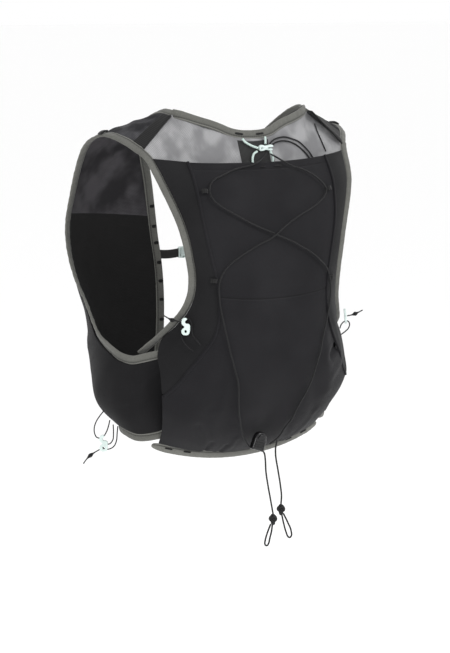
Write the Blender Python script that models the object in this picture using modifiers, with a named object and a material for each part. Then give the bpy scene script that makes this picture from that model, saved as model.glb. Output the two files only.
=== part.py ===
"""Running hydration vest, shown as it is worn: metres, +Z up, +Y out of the back, +X the wearer's left.

The origin is in the middle of the shoulder line. Each half of the vest is one band of cloth
around an armhole: the back, the strap over the shoulder, the front and the wing under the arm.
"""
import bmesh
import bpy
import numpy as np
from mathutils import Matrix

for leftover in list(bpy.data.objects):
    bpy.data.objects.remove(leftover, do_unlink=True)

# Driving sizes
half_width = 0.165
depth = 0.100
length = 0.385
cloth = 0.0012
gap = 0.0003
seam_room = 0.0009
binding_width = 0.0100
binding_thick = 0.0034
strip_width = 0.0370
strip_thick = 0.0006
cord_radius = 0.0010
thin_cord_radius = 0.0007
mouth_cord_radius = 0.0009
neck_cord_radius = 0.0013
webbing_width = 0.0105
webbing_thick = 0.0014
buckle_size = (0.0220, 0.0140, 0.0050)
clip_size = (0.0170, 0.0220, 0.0080)
clip_round = 0.0020
buckle_round = 0.0015
anchor_size = (0.0050, 0.0070, 0.0016)
tab_size = (0.0090, 0.0050, 0.0024)
hook_size = (0.0200, 0.0090, 0.0028)
neck_hook_size = (0.0190, 0.0070, 0.0040)
knot_size = (0.0074, 0.0074, 0.0108)

# Armhole edge at the back, from the shoulder seam down to the tip behind the wing.
# Columns: x in half widths, y in depths, z in lengths
ARMHOLE_BACK = [
    (0.858, 0.220, -0.055),
    (0.823, 0.310, -0.078),
    (0.800, 0.415, -0.117),
    (0.778, 0.500, -0.156),
    (0.736, 0.575, -0.208),
    (0.693, 0.625, -0.260),
    (0.659, 0.652, -0.312),
    (0.635, 0.664, -0.364),
    (0.615, 0.664, -0.416),
    (0.614, 0.635, -0.468),
    (0.643, 0.557, -0.519),
    (0.696, 0.460, -0.558),
    (0.752, 0.345, -0.595),
    (0.780, 0.200, -0.625),
    (0.790, 0.060, -0.650),
]
WAIST_ROW = 13

# Side edge of the inner back panel, below the armhole, under the wing. Columns as above
PANEL_SIDE = [
    (0.742, 0.225, -0.640),
    (0.733, 0.260, -0.700),
    (0.715, 0.240, -0.780),
    (0.690, 0.140, -0.870),
    (0.680, 0.070, -0.935),
]

# Side edge of the stash pocket, below the armhole, over the wing. Columns as above
POCKET_SIDE = [
    (0.790, 0.360, -0.640),
    (0.798, 0.425, -0.700),
    (0.800, 0.460, -0.760),
    (0.780, 0.420, -0.800),
    (0.745, 0.330, -0.845),
    (0.715, 0.235, -0.885),
    (0.680, 0.070, -0.935),
]

# Line down the middle of the back. Columns: y in depths, z in lengths
PANEL_MIDDLE = [
    (0.385, -0.023),
    (0.425, -0.065),
    (0.470, -0.105),
    (0.560, -0.160),
    (0.640, -0.230),
    (0.680, -0.310),
    (0.690, -0.400),
    (0.670, -0.500),
    (0.600, -0.600),
    (0.500, -0.700),
    (0.380, -0.800),
    (0.250, -0.900),
    (0.140, -0.984),
]
POCKET_MIDDLE = [
    (0.545, -0.100),
    (0.690, -0.160),
    (0.780, -0.230),
    (0.835, -0.305),
    (0.850, -0.390),
    (0.875, -0.490),
    (0.905, -0.580),
    (0.915, -0.660),
    (0.885, -0.730),
    (0.800, -0.795),
    (0.690, -0.855),
    (0.560, -0.905),
    (0.380, -0.950),
    (0.140, -0.984),
]

# Neck edge from the middle of the back to the shoulder seam. Columns: x, y, z as for the armhole
NECK = [
    (0.000, 0.370, -0.021),
    (0.090, 0.365, -0.019),
    (0.170, 0.345, -0.012),
    (0.236, 0.320, 0.000),
    (0.303, 0.300, 0.011),
    (0.382, 0.280, 0.021),
    (0.455, 0.250, 0.031),
    (0.521, 0.200, 0.041),
    (0.563, 0.120, 0.046),
]

# The strap, the front and the wing, from the shoulder seam to the end of the wing at the back.
# Columns: armhole edge x, y, z; neck, front and hem edge x, y, z; crown of the cloth between
# them and of the pocket over it, in depths
STRAP = [
    (0.858, 0.220, -0.055, 0.563, 0.120, 0.046, 0.01, 0.03),
    (0.918, 0.080, -0.029, 0.585, 0.000, 0.050, 0.01, 0.04),
    (0.968, -0.150, -0.013, 0.588, -0.200, 0.036, 0.01, 0.05),
    (0.997, -0.360, -0.026, 0.570, -0.420, 0.004, 0.02, 0.06),
    (1.000, -0.550, -0.058, 0.515, -0.640, -0.045, 0.04, 0.10),
    (0.990, -0.740, -0.125, 0.420, -0.820, -0.100, 0.07, 0.14),
    (0.982, -0.900, -0.210, 0.327, -0.980, -0.173, 0.12, 0.24),
    (0.982, -0.990, -0.278, 0.267, -1.070, -0.257, 0.17, 0.35),
    (0.988, -0.980, -0.338, 0.230, -1.100, -0.345, 0.20, 0.40),
    (0.988, -0.910, -0.400, 0.213, -1.060, -0.430, 0.22, 0.42),
    (0.980, -0.800, -0.460, 0.212, -1.020, -0.515, 0.23, 0.40),
    (0.968, -0.650, -0.515, 0.222, -0.990, -0.600, 0.23, 0.38),
    (0.957, -0.535, -0.568, 0.240, -0.980, -0.690, 0.22, 0.40),
    (0.950, -0.440, -0.605, 0.290, -0.990, -0.790, 0.20, 0.41),
    (0.939, -0.340, -0.627, 0.400, -0.960, -0.868, 0.18, 0.36),
    (0.924, -0.200, -0.647, 0.580, -0.800, -0.886, 0.14, 0.31),
    (0.903, -0.080, -0.663, 0.740, -0.520, -0.893, 0.10, 0.27),
    (0.870, 0.080, -0.669, 0.840, -0.220, -0.890, 0.07, 0.18),
    (0.830, 0.210, -0.660, 0.800, 0.000, -0.905, 0.04, 0.10),
    (0.794, 0.300, -0.652, 0.688, 0.130, -0.899, 0.02, 0.04),
    (0.757, 0.360, -0.647, 0.635, 0.170, -0.888, 0.01, 0.02),
]
BAND_ROW = 0.55
FRONT_ROW = 3.0
POCKET_ROW = 6.9
INNER_LAST_ROW = 16.5
LAST_ROW = 20.0
ARMHOLE_SHARE = 0.66
HEM_REACH = 1.045
STERNUM_ROW = 8.7

# Seam between the stash pocket's middle and its side, as a share of the half width at that
# height. Columns: share down the pocket's side edge, share across
POCKET_SEAM = [
    (0.00, 0.70),
    (0.10, 0.74),
    (0.25, 0.80),
    (0.36, 0.77),
    (0.48, 0.72),
    (0.55, 0.70),
    (0.62, 0.74),
    (0.68, 0.81),
    (0.74, 0.89),
    (0.78, 0.965),
]

# Where the strip on the yoke starts and ends, as shares down the back
STRIP_TOP = 0.020
STRIP_FOOT = 0.130

to_metres = np.array([half_width, depth, length])


def through(knots, values, places):
    """Smooth curve through the values: a cubic between two knots, its slopes from the neighbours."""
    knots, values = np.asarray(knots, float), np.asarray(values, float)
    places = np.clip(places, knots[0], knots[-1])
    slope = np.gradient(values, knots, axis=0)
    left = np.clip(np.searchsorted(knots, places, side="right") - 1, 0, len(knots) - 2)
    step = (knots[left + 1] - knots[left])[..., None]
    share = (places - knots[left])[..., None] / step
    rest = 1 - share
    return (
        (1 + 2 * share) * rest**2 * values[left]
        + share * rest**2 * step * slope[left]
        + share**2 * (1 + 2 * rest) * values[left + 1]
        - share**2 * rest * step * slope[left + 1]
    )


def chords(rows):
    """Share of the whole length at which each row lies."""
    steps = np.linalg.norm(np.diff(rows, axis=0), axis=1)
    return np.concatenate([[0], np.cumsum(steps)]) / steps.sum()


def chord_length(rows):
    """Whole length of a run of points."""
    return np.linalg.norm(np.diff(rows, axis=0), axis=1).sum()


def unit(vectors):
    """Vectors of length one."""
    return vectors / np.maximum(np.linalg.norm(vectors, axis=-1, keepdims=True), 1e-12)


def edge(rows, places):
    """Points of an edge table, in metres, at shares of its length."""
    rows = np.array(rows) * to_metres
    return through(chords(rows), rows, places)


def middle(rows, places):
    """Points of a middle line's table, in metres, at shares of its length."""
    rows = np.array([(0, y, z) for y, z in rows]) * to_metres
    return through(chords(rows), rows, places)


def neck_rows():
    """The neck edge's points and then the shoulder seam's outer end, in metres."""
    return np.array(NECK + [ARMHOLE_BACK[0]]) * to_metres


def neck_and_seam(shares):
    """Top of the inner back panel for shares 0 to 1: the neck edge, then the shoulder seam."""
    rows = neck_rows()
    knots = chords(rows)
    points = through(knots[:-1], rows[:-1], shares)
    along_seam = np.clip((shares - knots[-2]) / (1 - knots[-2]), 0, 1)[..., None]
    return points + (rows[-1] - rows[-2]) * along_seam


def back_sheet(across, down, middle_rows, side_rows, roundness, top=None, top_hold=8):
    """Cloth of the back: flat in the middle and rolled off to the sides, for shares across and down."""
    side = np.abs(across)[..., None]
    centre, rim = middle(middle_rows, down), edge(side_rows, down)
    weight = np.concatenate([side, side**roundness, side**2], axis=-1)
    points = centre + (rim - centre) * weight
    if top is not None:
        start, end = middle(middle_rows, np.zeros(1))[0], edge(side_rows, np.zeros(1))[0]
        points += (top(side[..., 0]) - start - (end - start) * weight) * (1 - down[..., None]) ** top_hold
    points[..., 0] *= np.sign(across)
    return points


def panel_side_rows():
    """Side edge of the inner back panel: the armhole, then the side under the wing."""
    return ARMHOLE_BACK[:WAIST_ROW] + PANEL_SIDE


def pocket_side_rows():
    """Side edge of the stash pocket: the armhole below the mouth, then the edge over the wing."""
    return ARMHOLE_BACK[1:WAIST_ROW] + POCKET_SIDE


def inner_back(across, down):
    """Mid surface of the inner back panel."""
    return back_sheet(across, down, PANEL_MIDDLE, panel_side_rows(), 3.0, top=neck_and_seam)


def outer_back(across, down):
    """Mid surface of the stash pocket over the back panel."""
    return back_sheet(across, down, POCKET_MIDDLE, pocket_side_rows(), 4.0)


def strap_edges(rows):
    """Armhole edge, other edge and both crowns of the left strap at places in row numbers."""
    table = np.array(STRAP) * np.concatenate([to_metres, to_metres, [depth, depth]])
    values = through(np.arange(len(table)), table, rows)
    return values[..., :3], values[..., 3:6], values[..., 6], values[..., 7]


def strap_sheet(rows, across, over=False):
    """Cloth of the left strap, front and wing, or of the pocket over it, for rows and shares across."""
    armhole, other, inner, outer = strap_edges(rows)
    ahead = strap_edges(rows + 0.05)
    behind = strap_edges(rows - 0.05)
    forward = (ahead[0] + ahead[1]) - (behind[0] + behind[1])
    outward = unit(np.cross(other - armhole, forward))
    height = outer if over else inner
    bump = 4 * across * (1 - across)
    return armhole + (other - armhole) * across[..., None] + outward * (height * bump)[..., None]


def normals(grid):
    """Unit normals of a grid of points, from its two directions."""
    return unit(np.cross(np.gradient(grid, axis=1), np.gradient(grid, axis=0)))


def mirrored(grid):
    """The same grid for the wearer's right, wound so that it still faces out."""
    return (grid * np.array([-1, 1, 1]))[:, ::-1]


# Finishes, as colours in linear light
FINISHES = {
    "binding_knit": ((0.21, 0.21, 0.19), 0.9),
    "yoke_mesh": ((0.36, 0.36, 0.36), 0.9),
    "strap_mesh": ((0.045, 0.045, 0.048), 0.9),
    "pocket_fabric": ((0.022, 0.022, 0.024), 0.8),
    "side_fabric": ((0.016, 0.016, 0.017), 0.8),
    "webbing": ((0.02, 0.02, 0.02), 0.85),
    "cord": ((0.02, 0.02, 0.02), 0.7),
    "mint_cord": ((0.55, 0.68, 0.62), 0.6),
    "mint_plastic": ((0.58, 0.75, 0.70), 0.45),
    "black_plastic": ((0.02, 0.02, 0.02), 0.5),
}


def finish(name):
    """The material of that name, made the first time it is asked for."""
    if name in bpy.data.materials:
        return bpy.data.materials[name]
    colour, rough = FINISHES[name]
    material = bpy.data.materials.new(name)
    material.use_nodes = True
    shader = material.node_tree.nodes["Principled BSDF"]
    shader.inputs["Base Color"].default_value = (*colour, 1)
    shader.inputs["Roughness"].default_value = rough
    return material


vest = bpy.data.collections.new("running_hydration_vest")
bpy.context.scene.collection.children.link(vest)


def piece(name, data, look):
    """Object of that name with one finish, in the vest's collection."""
    thing = bpy.data.objects.new(name, data)
    data.materials.append(finish(look))
    vest.objects.link(thing)
    return thing


def mesh_of(name, points, faces):
    """Mesh from points and faces, shaded smooth but for its sharp edges."""
    mesh = bpy.data.meshes.new(name)
    mesh.from_pydata([tuple(point) for point in points], [], faces)
    mesh.shade_smooth()
    mesh.set_sharp_from_angle(angle=0.8)
    return mesh


def grid_faces(rows, columns):
    """Quads of a grid of points that is stored row by row."""
    first = (np.arange(rows - 1)[:, None] * columns + np.arange(columns - 1)).ravel()
    return np.stack([first, first + 1, first + columns + 1, first + columns], 1).tolist()


def cloth_piece(name, grid, look, side=0, thick=cloth, lift=gap * 0.7):
    """Wall of cloth on a grid. Side 1 stands a little outside the mid surface, side -1 inside it."""
    grid = grid + normals(grid) * side * lift
    rows, columns = grid.shape[:2]
    thing = piece(name, mesh_of(name, grid.reshape(-1, 3), grid_faces(rows, columns)), look)
    wall = thing.modifiers.new("wall", "SOLIDIFY")
    wall.thickness = thick
    wall.offset = side
    return thing


def strip(name, path, inward, width, thick, look, lift=0.0):
    """Flat strip along a path. Inward points across it, towards the cloth that it edges."""
    forward = unit(np.gradient(path, axis=0))
    across = unit(inward - forward * (inward * forward).sum(1, keepdims=True))
    up = np.cross(across, forward)
    corners = [(-0.5, -0.5), (0.5, -0.5), (0.5, 0.5), (-0.5, 0.5)]
    rings = [path + across * width * a + up * (thick * b + lift) for a, b in corners]
    points = np.stack(rings, 1).reshape(-1, 3)
    count, sides = len(path), len(corners)
    faces = [list(range(sides)), list(range(sides * count - 1, sides * (count - 1) - 1, -1))]
    for ring in range(count - 1):
        for side in range(sides):
            a, b = ring * sides + side, ring * sides + (side + 1) % sides
            faces.append([a, a + sides, b + sides, b])
    return piece(name, mesh_of(name, points, faces), look)


def room_share(rim, near, step, ahead, room):
    """Share of the way in from a rim that leaves room beside it. Near lies a step in, ahead along it."""
    inward = (near - rim) / step
    sine = np.linalg.norm(np.cross(inward, unit(ahead)), axis=-1)
    return room / np.maximum(sine, 1e-6)


inset = binding_width / 2 + seam_room


def back_grid(sheet, start, end, rows, columns, top_room=0.0):
    """Grid on a sheet of the back, clear of its side bindings and of the hem, for shares down it."""
    down, across = np.linspace(0, 1, rows), np.linspace(-1, 1, columns)
    places, one, small = start + (end - start) * down, np.ones(rows), 0.01
    rim = sheet(one, places)
    ahead = sheet(one, places + small) - sheet(one, np.maximum(places - small, 0))
    side = room_share(rim, sheet(one - small, places), small, ahead, inset)
    flat, along = np.zeros(columns), np.clip(across + small, -1, 1)
    top = room_share(sheet(across, flat), sheet(across, flat + small), small,
                     sheet(along, flat) - sheet(along - 2 * small, flat), top_room)
    foot = room_share(sheet(across, flat + 1), sheet(across, flat + 1 - small), small,
                      sheet(along, flat + 1) - sheet(along - 2 * small, flat + 1), inset)
    foot = np.where(end < 1, 0, foot)
    rows_down = start + top + (end - start - top - foot) * down[:, None]
    return sheet(across * (1 - side[:, None]), rows_down)


def inner_back_grid(rows, columns):
    """Inner back panel between its bindings and the shoulder seams."""
    across = np.abs(np.linspace(-1, 1, columns))
    top_room = np.where(across < chords(neck_rows())[-2], inset, seam_room)
    return back_grid(inner_back, 0, 1, rows, columns, top_room)


def seam_share(down):
    """Share across the back at which the stash pocket's side seam runs."""
    table = np.array(POCKET_SEAM)
    return through(table[:, 0], table[:, 1:], down)[..., 0]


def pocket_places(rows):
    """Places down the stash pocket, from its mouth to the hem binding."""
    foot = inset / chord_length(middle(POCKET_MIDDLE, np.linspace(0, 1, rows)))
    return np.linspace(0, 1 - foot, rows)


def side_room(down):
    """Share across the back that the side edge's binding takes from the stash pocket."""
    one, small = np.ones(len(down)), 0.01
    ahead = outer_back(one, down + small) - outer_back(one, np.maximum(down - small, 0))
    return room_share(outer_back(one, down), outer_back(one - small, down), small, ahead, inset)


def stash_pocket_grid(rows, columns):
    """Middle of the stash pocket: between the side seams, then out to both side edges."""
    down, across = pocket_places(rows), np.linspace(-1, 1, columns)
    full = 1 - side_room(down)
    reach = np.where(down < POCKET_SEAM[-1][0], np.minimum(seam_share(down), full), full)
    return outer_back(across[None, :] * reach[:, None], down[:, None] + np.zeros(columns))


def side_grid(rows, columns):
    """Side of the stash pocket, from its seam to the armhole, on the wearer's left."""
    down = pocket_places(rows)
    down = down[down < POCKET_SEAM[-1][0]]
    start, end = seam_share(down) + seam_room / half_width, 1 - side_room(down)
    across = start[:, None] + (end - start)[:, None] * np.linspace(0, 1, columns)[None, :]
    return outer_back(across, down[:, None] + np.zeros(columns))


def strap_grid(first, last, rows, columns, over=False, room=inset):
    """Part of the left strap between its bindings, from one row number to another."""
    places = np.linspace(first, last, rows)
    zero, small = np.zeros(rows), 0.01
    shares = []
    for rim, way in ((zero, 1), (zero + 1, -1)):
        ahead = strap_sheet(places + small, rim) - strap_sheet(places - small, rim)
        near = strap_sheet(places, rim + way * small)
        shares.append(room_share(strap_sheet(places, rim), near, small, ahead, room))
    across = shares[0][:, None] + (1 - shares[0] - shares[1])[:, None] * np.linspace(0, 1, columns)[None, :]
    return strap_sheet(places[:, None] + np.zeros(columns), across, over)


def centre_strip_grid(rows, columns):
    """Strip down the middle of the yoke, from the neck binding to below the pocket's mouth."""
    down = np.linspace(STRIP_TOP, STRIP_FOOT, rows)
    reach = strip_width / 2 / edge(panel_side_rows(), down)[:, 0]
    across = np.linspace(-1, 1, columns)[None, :] * reach[:, None]
    return inner_back(across, down[:, None] + np.zeros(columns))


def build_back():
    """Inner back panel, strip on the yoke, stash pocket and its two sides."""
    cloth_piece("back_panel", inner_back_grid(19, 15), "yoke_mesh", side=-1)
    cloth_piece("centre_strip", centre_strip_grid(6, 4), "webbing", side=1, thick=strip_thick, lift=2 * gap)
    cloth_piece("stash_pocket", stash_pocket_grid(20, 15), "pocket_fabric", side=1)
    side = side_grid(20, 4)
    cloth_piece("pocket_side_left", side, "side_fabric", side=1)
    cloth_piece("pocket_side_right", mirrored(side), "side_fabric", side=1)


def build_straps():
    """Shoulder bands, shoulder mesh, front panels and front pockets, both sides."""
    parts = [
        ("shoulder_band", strap_grid(0.06, BAND_ROW, 3, 4), "webbing", -1),
        ("shoulder_mesh", strap_grid(BAND_ROW + 0.05, FRONT_ROW, 6, 5), "strap_mesh", -1),
        ("front_panel", strap_grid(FRONT_ROW + 0.04, INNER_LAST_ROW, 22, 6, room=inset + seam_room),
         "strap_mesh", -1),
        ("front_pocket", strap_grid(POCKET_ROW, LAST_ROW, 22, 7, over=True), "side_fabric", 1),
    ]
    for name, grid, look, side in parts:
        cloth_piece(name + "_left", grid, look, side)
        cloth_piece(name + "_right", mirrored(grid), look, side)


def armhole_path(count):
    """Centre line of the left armhole's binding and the direction to its cloth at each point."""
    along = np.linspace(LAST_ROW, 0, 240)
    front = strap_edges(along)[0]
    front_in = strap_sheet(along, np.full(240, 0.04)) - front
    down = np.linspace(0, 1, 120)[1:]
    back = edge(ARMHOLE_BACK, down)
    back_in = middle(PANEL_MIDDLE, down * ARMHOLE_SHARE) - back
    back_in[:, 1] = np.maximum(back_in[:, 1], 0)
    inward = np.concatenate([unit(front_in), unit(back_in)])
    return resampled(np.concatenate([front, back]), inward, count)


def edge_path(first, last, count):
    """Neck, front or hem edge of the left strap between two row numbers, and the way to its cloth."""
    rows = np.linspace(first, last, count)
    path = strap_edges(rows)[1]
    return path, unit(strap_sheet(rows, np.full(count, 0.96)) - path)


def front_edge_path(count):
    """Neck, front and wing edges in one line, from the left wing's end to the right one's."""
    front, front_in = edge_path(LAST_ROW, 0, 300)
    shares = np.linspace(chords(neck_rows())[-2], 0, 60)[1:]
    none, little = np.zeros(len(shares)), np.full(len(shares), 0.02)
    neck, below = inner_back(shares, none), inner_back(shares, little)
    half = np.concatenate([front, neck])
    half_in = np.concatenate([front_in, unit(below - neck)])
    flip = np.array([-1, 1, 1])
    path = np.concatenate([half, (half * flip)[-2::-1]])
    inward = np.concatenate([half_in, (half_in * flip)[-2::-1]])
    return resampled(path, inward, count)


def resampled(path, inward, count):
    """The path and the directions on it at evenly spaced places."""
    knots, places = chords(path), np.linspace(0, 1, count)
    columns = [np.interp(places, knots, both) for both in np.concatenate([path, inward], 1).T]
    return np.stack(columns[:3], 1), np.stack(columns[3:], 1)


def hem_path(count):
    """Hem of the back, from the wearer's left to the right."""
    shares = np.linspace(HEM_REACH, -HEM_REACH, count)
    path = inner_back(shares, np.ones(count))
    above = inner_back(shares * 0.98, np.full(count, 0.97))
    return path, unit(above - path)


def both_sides(name, path, inward, *rest):
    """A strip for the wearer's left and its mirror image for the right."""
    flip = np.array([-1, 1, 1])
    strip(name + "_left", path, inward, *rest)
    strip(name + "_right", (path * flip)[::-1], (inward * flip)[::-1], *rest)


def build_bindings():
    """Bindings of the armholes, of the neck, fronts and wings in one, and of the back's hem."""
    size = (binding_width, binding_thick, "binding_knit")
    both_sides("armhole_binding", *armhole_path(56), *size)
    strip("front_edge_binding", *front_edge_path(91), *size)
    strip("back_hem_binding", *hem_path(23), *size)


# Cords: points that each one runs through. Columns: x in half widths, y in depths, z in lengths
LACING_LEFT = [
    (0.1200, 0.6100, -0.9429),
    (0.1642, 0.6250, -0.9182),
    (0.2024, 0.6550, -0.8912),
    (0.2333, 0.7000, -0.8610),
    (0.2721, 0.7650, -0.8268),
    (0.3012, 0.8250, -0.7868),
    (0.3194, 0.8660, -0.7545),
    (0.3388, 0.8940, -0.7226),
    (0.3618, 0.9070, -0.6974),
    (0.3836, 0.9070, -0.6662),
    (0.4012, 0.9010, -0.6392),
    (0.4267, 0.8830, -0.5860),
    (0.4394, 0.8680, -0.5569),
    (0.4552, 0.8500, -0.5190),
    (0.4673, 0.8380, -0.4753),
    (0.4679, 0.8360, -0.4405),
    (0.4509, 0.8430, -0.4148),
    (0.4139, 0.8550, -0.3922),
    (0.3679, 0.8650, -0.3758),
    (0.3048, 0.8730, -0.3603),
    (0.2236, 0.8770, -0.3434),
    (0.1400, 0.8800, -0.3278),
    (0.0715, 0.8920, -0.3166),
    (0.0152, 0.8970, -0.3026),
    (-0.0339, 0.8830, -0.2899),
    (-0.1242, 0.8520, -0.2704),
    (-0.2152, 0.8360, -0.2522),
    (-0.3085, 0.8200, -0.2366),
    (-0.3885, 0.7970, -0.2197),
    (-0.4424, 0.7720, -0.2052),
    (-0.4770, 0.7460, -0.1865),
    (-0.4558, 0.7290, -0.1686),
    (-0.4261, 0.7110, -0.1553),
    (-0.3715, 0.6770, -0.1371),
    (-0.2982, 0.6460, -0.1223),
    (-0.2170, 0.6200, -0.1106),
    (-0.1939, 0.6140, -0.1052),
    (-0.1715, 0.6030, -0.0997),
    (-0.1576, 0.5800, -0.0951),
    (-0.1394, 0.5430, -0.0881),
    (-0.1188, 0.5140, -0.0821),
    (-0.1036, 0.5000, -0.0782),
]
LACING_RIGHT = [
    (-0.0564, 0.6100, -0.9413),
    (-0.0758, 0.6050, -0.9387),
    (-0.1170, 0.5900, -0.9322),
    (-0.1558, 0.5850, -0.9208),
    (-0.1855, 0.6150, -0.8966),
    (-0.2115, 0.6700, -0.8745),
    (-0.2218, 0.7430, -0.8413),
    (-0.2418, 0.7940, -0.8125),
    (-0.2624, 0.8260, -0.7909),
    (-0.2873, 0.8660, -0.7597),
    (-0.3073, 0.8990, -0.7257),
    (-0.3242, 0.9180, -0.6948),
    (-0.3503, 0.9180, -0.6655),
    (-0.3691, 0.9150, -0.6299),
    (-0.3976, 0.9010, -0.5948),
    (-0.4333, 0.8720, -0.5579),
    (-0.4667, 0.8420, -0.5182),
    (-0.4788, 0.8320, -0.4857),
    (-0.4667, 0.8380, -0.4488),
    (-0.4376, 0.8490, -0.4187),
    (-0.3782, 0.8650, -0.3945),
    (-0.2855, 0.8750, -0.3649),
    (-0.1976, 0.8780, -0.3447),
    (-0.1133, 0.8760, -0.3260),
    (-0.0303, 0.8710, -0.3122),
    (0.0515, 0.8670, -0.2969),
    (0.1321, 0.8590, -0.2829),
    (0.2109, 0.8480, -0.2681),
    (0.2873, 0.8330, -0.2504),
    (0.3612, 0.8120, -0.2330),
    (0.4321, 0.7850, -0.2145),
    (0.4818, 0.7570, -0.1961),
    (0.4982, 0.7270, -0.1766),
    (0.4879, 0.7070, -0.1574),
    (0.4533, 0.6820, -0.1426),
    (0.3812, 0.6650, -0.1314),
    (0.2873, 0.6370, -0.1187),
    (0.1952, 0.6160, -0.1106),
    (0.1103, 0.6140, -0.1057),
    (0.0752, 0.6110, -0.1026),
    (0.0491, 0.5980, -0.0982),
    (0.0145, 0.5660, -0.0943),
    (-0.0152, 0.5360, -0.0894),
    (-0.0485, 0.5100, -0.0816),
    (-0.0697, 0.4980, -0.0740),
]
MOUTH_CORD_OUTER = [
    (-0.1345, 0.4150, -0.0491),
    (-0.1715, 0.3960, -0.0397),
    (-0.2285, 0.3820, -0.0332),
    (-0.2818, 0.3770, -0.0325),
    (-0.3327, 0.3790, -0.0377),
    (-0.4006, 0.3850, -0.0488),
    (-0.4376, 0.4000, -0.0626),
    (-0.4782, 0.4150, -0.0813),
    (-0.5067, 0.4420, -0.1049),
    (-0.5139, 0.4650, -0.1169),
]
MOUTH_CORD_INNER = [
    (-0.1473, 0.4200, -0.0532),
    (-0.1891, 0.4060, -0.0468),
    (-0.2424, 0.3960, -0.0431),
    (-0.3030, 0.3930, -0.0457),
    (-0.3576, 0.3970, -0.0540),
    (-0.4030, 0.4050, -0.0668),
    (-0.4376, 0.4250, -0.0813),
    (-0.4642, 0.4500, -0.0987),
    (-0.4752, 0.4750, -0.1117),
]
TAIL_LEFT = [
    (0.0073, 0.6120, -0.9590),
    (-0.0170, 0.5920, -0.9701),
    (-0.0291, 0.5800, -0.9878),
    (-0.0352, 0.5800, -1.0262),
    (-0.0545, 0.5800, -1.0730),
    (-0.0770, 0.5800, -1.1174),
    (-0.0976, 0.5800, -1.1592),
]
TAIL_LEFT_LOOP = [
    (-0.0776, 0.5800, -1.1899),
    (-0.0497, 0.5800, -1.2143),
    (-0.0303, 0.5800, -1.2377),
    (-0.0267, 0.5800, -1.2475),
    (-0.0345, 0.5800, -1.2535),
    (-0.0491, 0.5800, -1.2540),
    (-0.0612, 0.5800, -1.2475),
    (-0.0691, 0.5800, -1.2345),
    (-0.0836, 0.5800, -1.2145),
    (-0.0927, 0.5800, -1.1912),
]
TAIL_RIGHT = [
    (-0.1400, 0.5710, -0.9312),
    (-0.1491, 0.5280, -0.9468),
    (-0.1552, 0.4960, -0.9649),
    (-0.1630, 0.4800, -0.9868),
    (-0.1836, 0.4800, -1.0340),
    (-0.2067, 0.4800, -1.0860),
    (-0.2152, 0.4800, -1.1161),
    (-0.2109, 0.4800, -1.1408),
]
TAIL_RIGHT_LOOP = [
    (-0.2170, 0.4800, -1.1722),
    (-0.2352, 0.4800, -1.2026),
    (-0.2582, 0.4800, -1.2325),
    (-0.2733, 0.4800, -1.2457),
    (-0.2885, 0.4800, -1.2499),
    (-0.3030, 0.4800, -1.2455),
    (-0.3012, 0.4800, -1.2296),
    (-0.2727, 0.4800, -1.2026),
    (-0.2327, 0.4800, -1.1714),
]
NECK_CORDS = {
    "upper_left": [(0.1012, 0.4250, -0.0309), (0.0879, 0.4280, -0.0379), (0.0436, 0.4420, -0.0501),
                   (-0.0145, 0.4600, -0.0597)],
    "upper_right": [(-0.0915, 0.4200, -0.0281), (-0.0909, 0.4280, -0.0377), (-0.0836, 0.4430, -0.0491)],
    "lower_left": [(-0.0079, 0.4560, -0.0696), (0.0261, 0.4720, -0.0764), (0.0442, 0.4900, -0.0904),
                   (0.0491, 0.5080, -0.1031)],
    "lower_right": [(-0.1188, 0.4580, -0.0701), (-0.1321, 0.4770, -0.0878), (-0.1224, 0.5050, -0.1039)],
}
SHOULDER_CORD = [
    (-0.6109, 0.2170, 0.0010),
    (-0.6182, 0.2590, -0.0236),
    (-0.6291, 0.3000, -0.0460),
    (-0.6376, 0.3370, -0.0652),
    (-0.6412, 0.3720, -0.0808),
]
REAR_LOOP_LEFT = [
    (0.5788, 0.7430, -0.6140),
    (0.5976, 0.7180, -0.6018),
    (0.6158, 0.6830, -0.5881),
    (0.6218, 0.6680, -0.5683),
    (0.6218, 0.6540, -0.5475),
    (0.6321, 0.6300, -0.5384),
    (0.6473, 0.6030, -0.5392),
    (0.6600, 0.5800, -0.5478),
    (0.6667, 0.5680, -0.5639),
    (0.6709, 0.5760, -0.5805),
    (0.6685, 0.6020, -0.6000),
    (0.6473, 0.6500, -0.6192),
    (0.6206, 0.6980, -0.6312),
]
REAR_TAIL_LEFT = [
    (0.6812, 0.6000, -0.5483),
    (0.7109, 0.5730, -0.5434),
    (0.7345, 0.5510, -0.5410),
    (0.7576, 0.5280, -0.5351),
    (0.7794, 0.5030, -0.5281),
]
REAR_LOOP_RIGHT = [
    (-0.6685, 0.6040, -0.6153),
    (-0.6788, 0.6020, -0.6052),
    (-0.6982, 0.6170, -0.5953),
    (-0.7133, 0.6320, -0.5922),
    (-0.7255, 0.6480, -0.5953),
    (-0.7291, 0.6590, -0.6042),
    (-0.7206, 0.6570, -0.6140),
    (-0.6976, 0.6380, -0.6252),
    (-0.6727, 0.6160, -0.6340),
]
REAR_TAIL_RIGHT = [
    (-0.7133, 0.6420, -0.5774),
    (-0.7527, 0.6830, -0.5727),
    (-0.7667, 0.6980, -0.5699),
    (-0.7867, 0.7170, -0.5652),
    (-0.8079, 0.7380, -0.5597),
]
FRONT_LOOP = [
    (0.9139, -0.4380, -0.8405),
    (0.9358, -0.4680, -0.8564),
    (0.9570, -0.4870, -0.8735),
    (0.9679, -0.4930, -0.8909),
    (0.9679, -0.4860, -0.9057),
    (0.9552, -0.4740, -0.9179),
    (0.9333, -0.4600, -0.9210),
    (0.9115, -0.4460, -0.9169),
    (0.8988, -0.4260, -0.9060),
    (0.8861, -0.3940, -0.8808),
    (0.8812, -0.3830, -0.8660),
]
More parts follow.
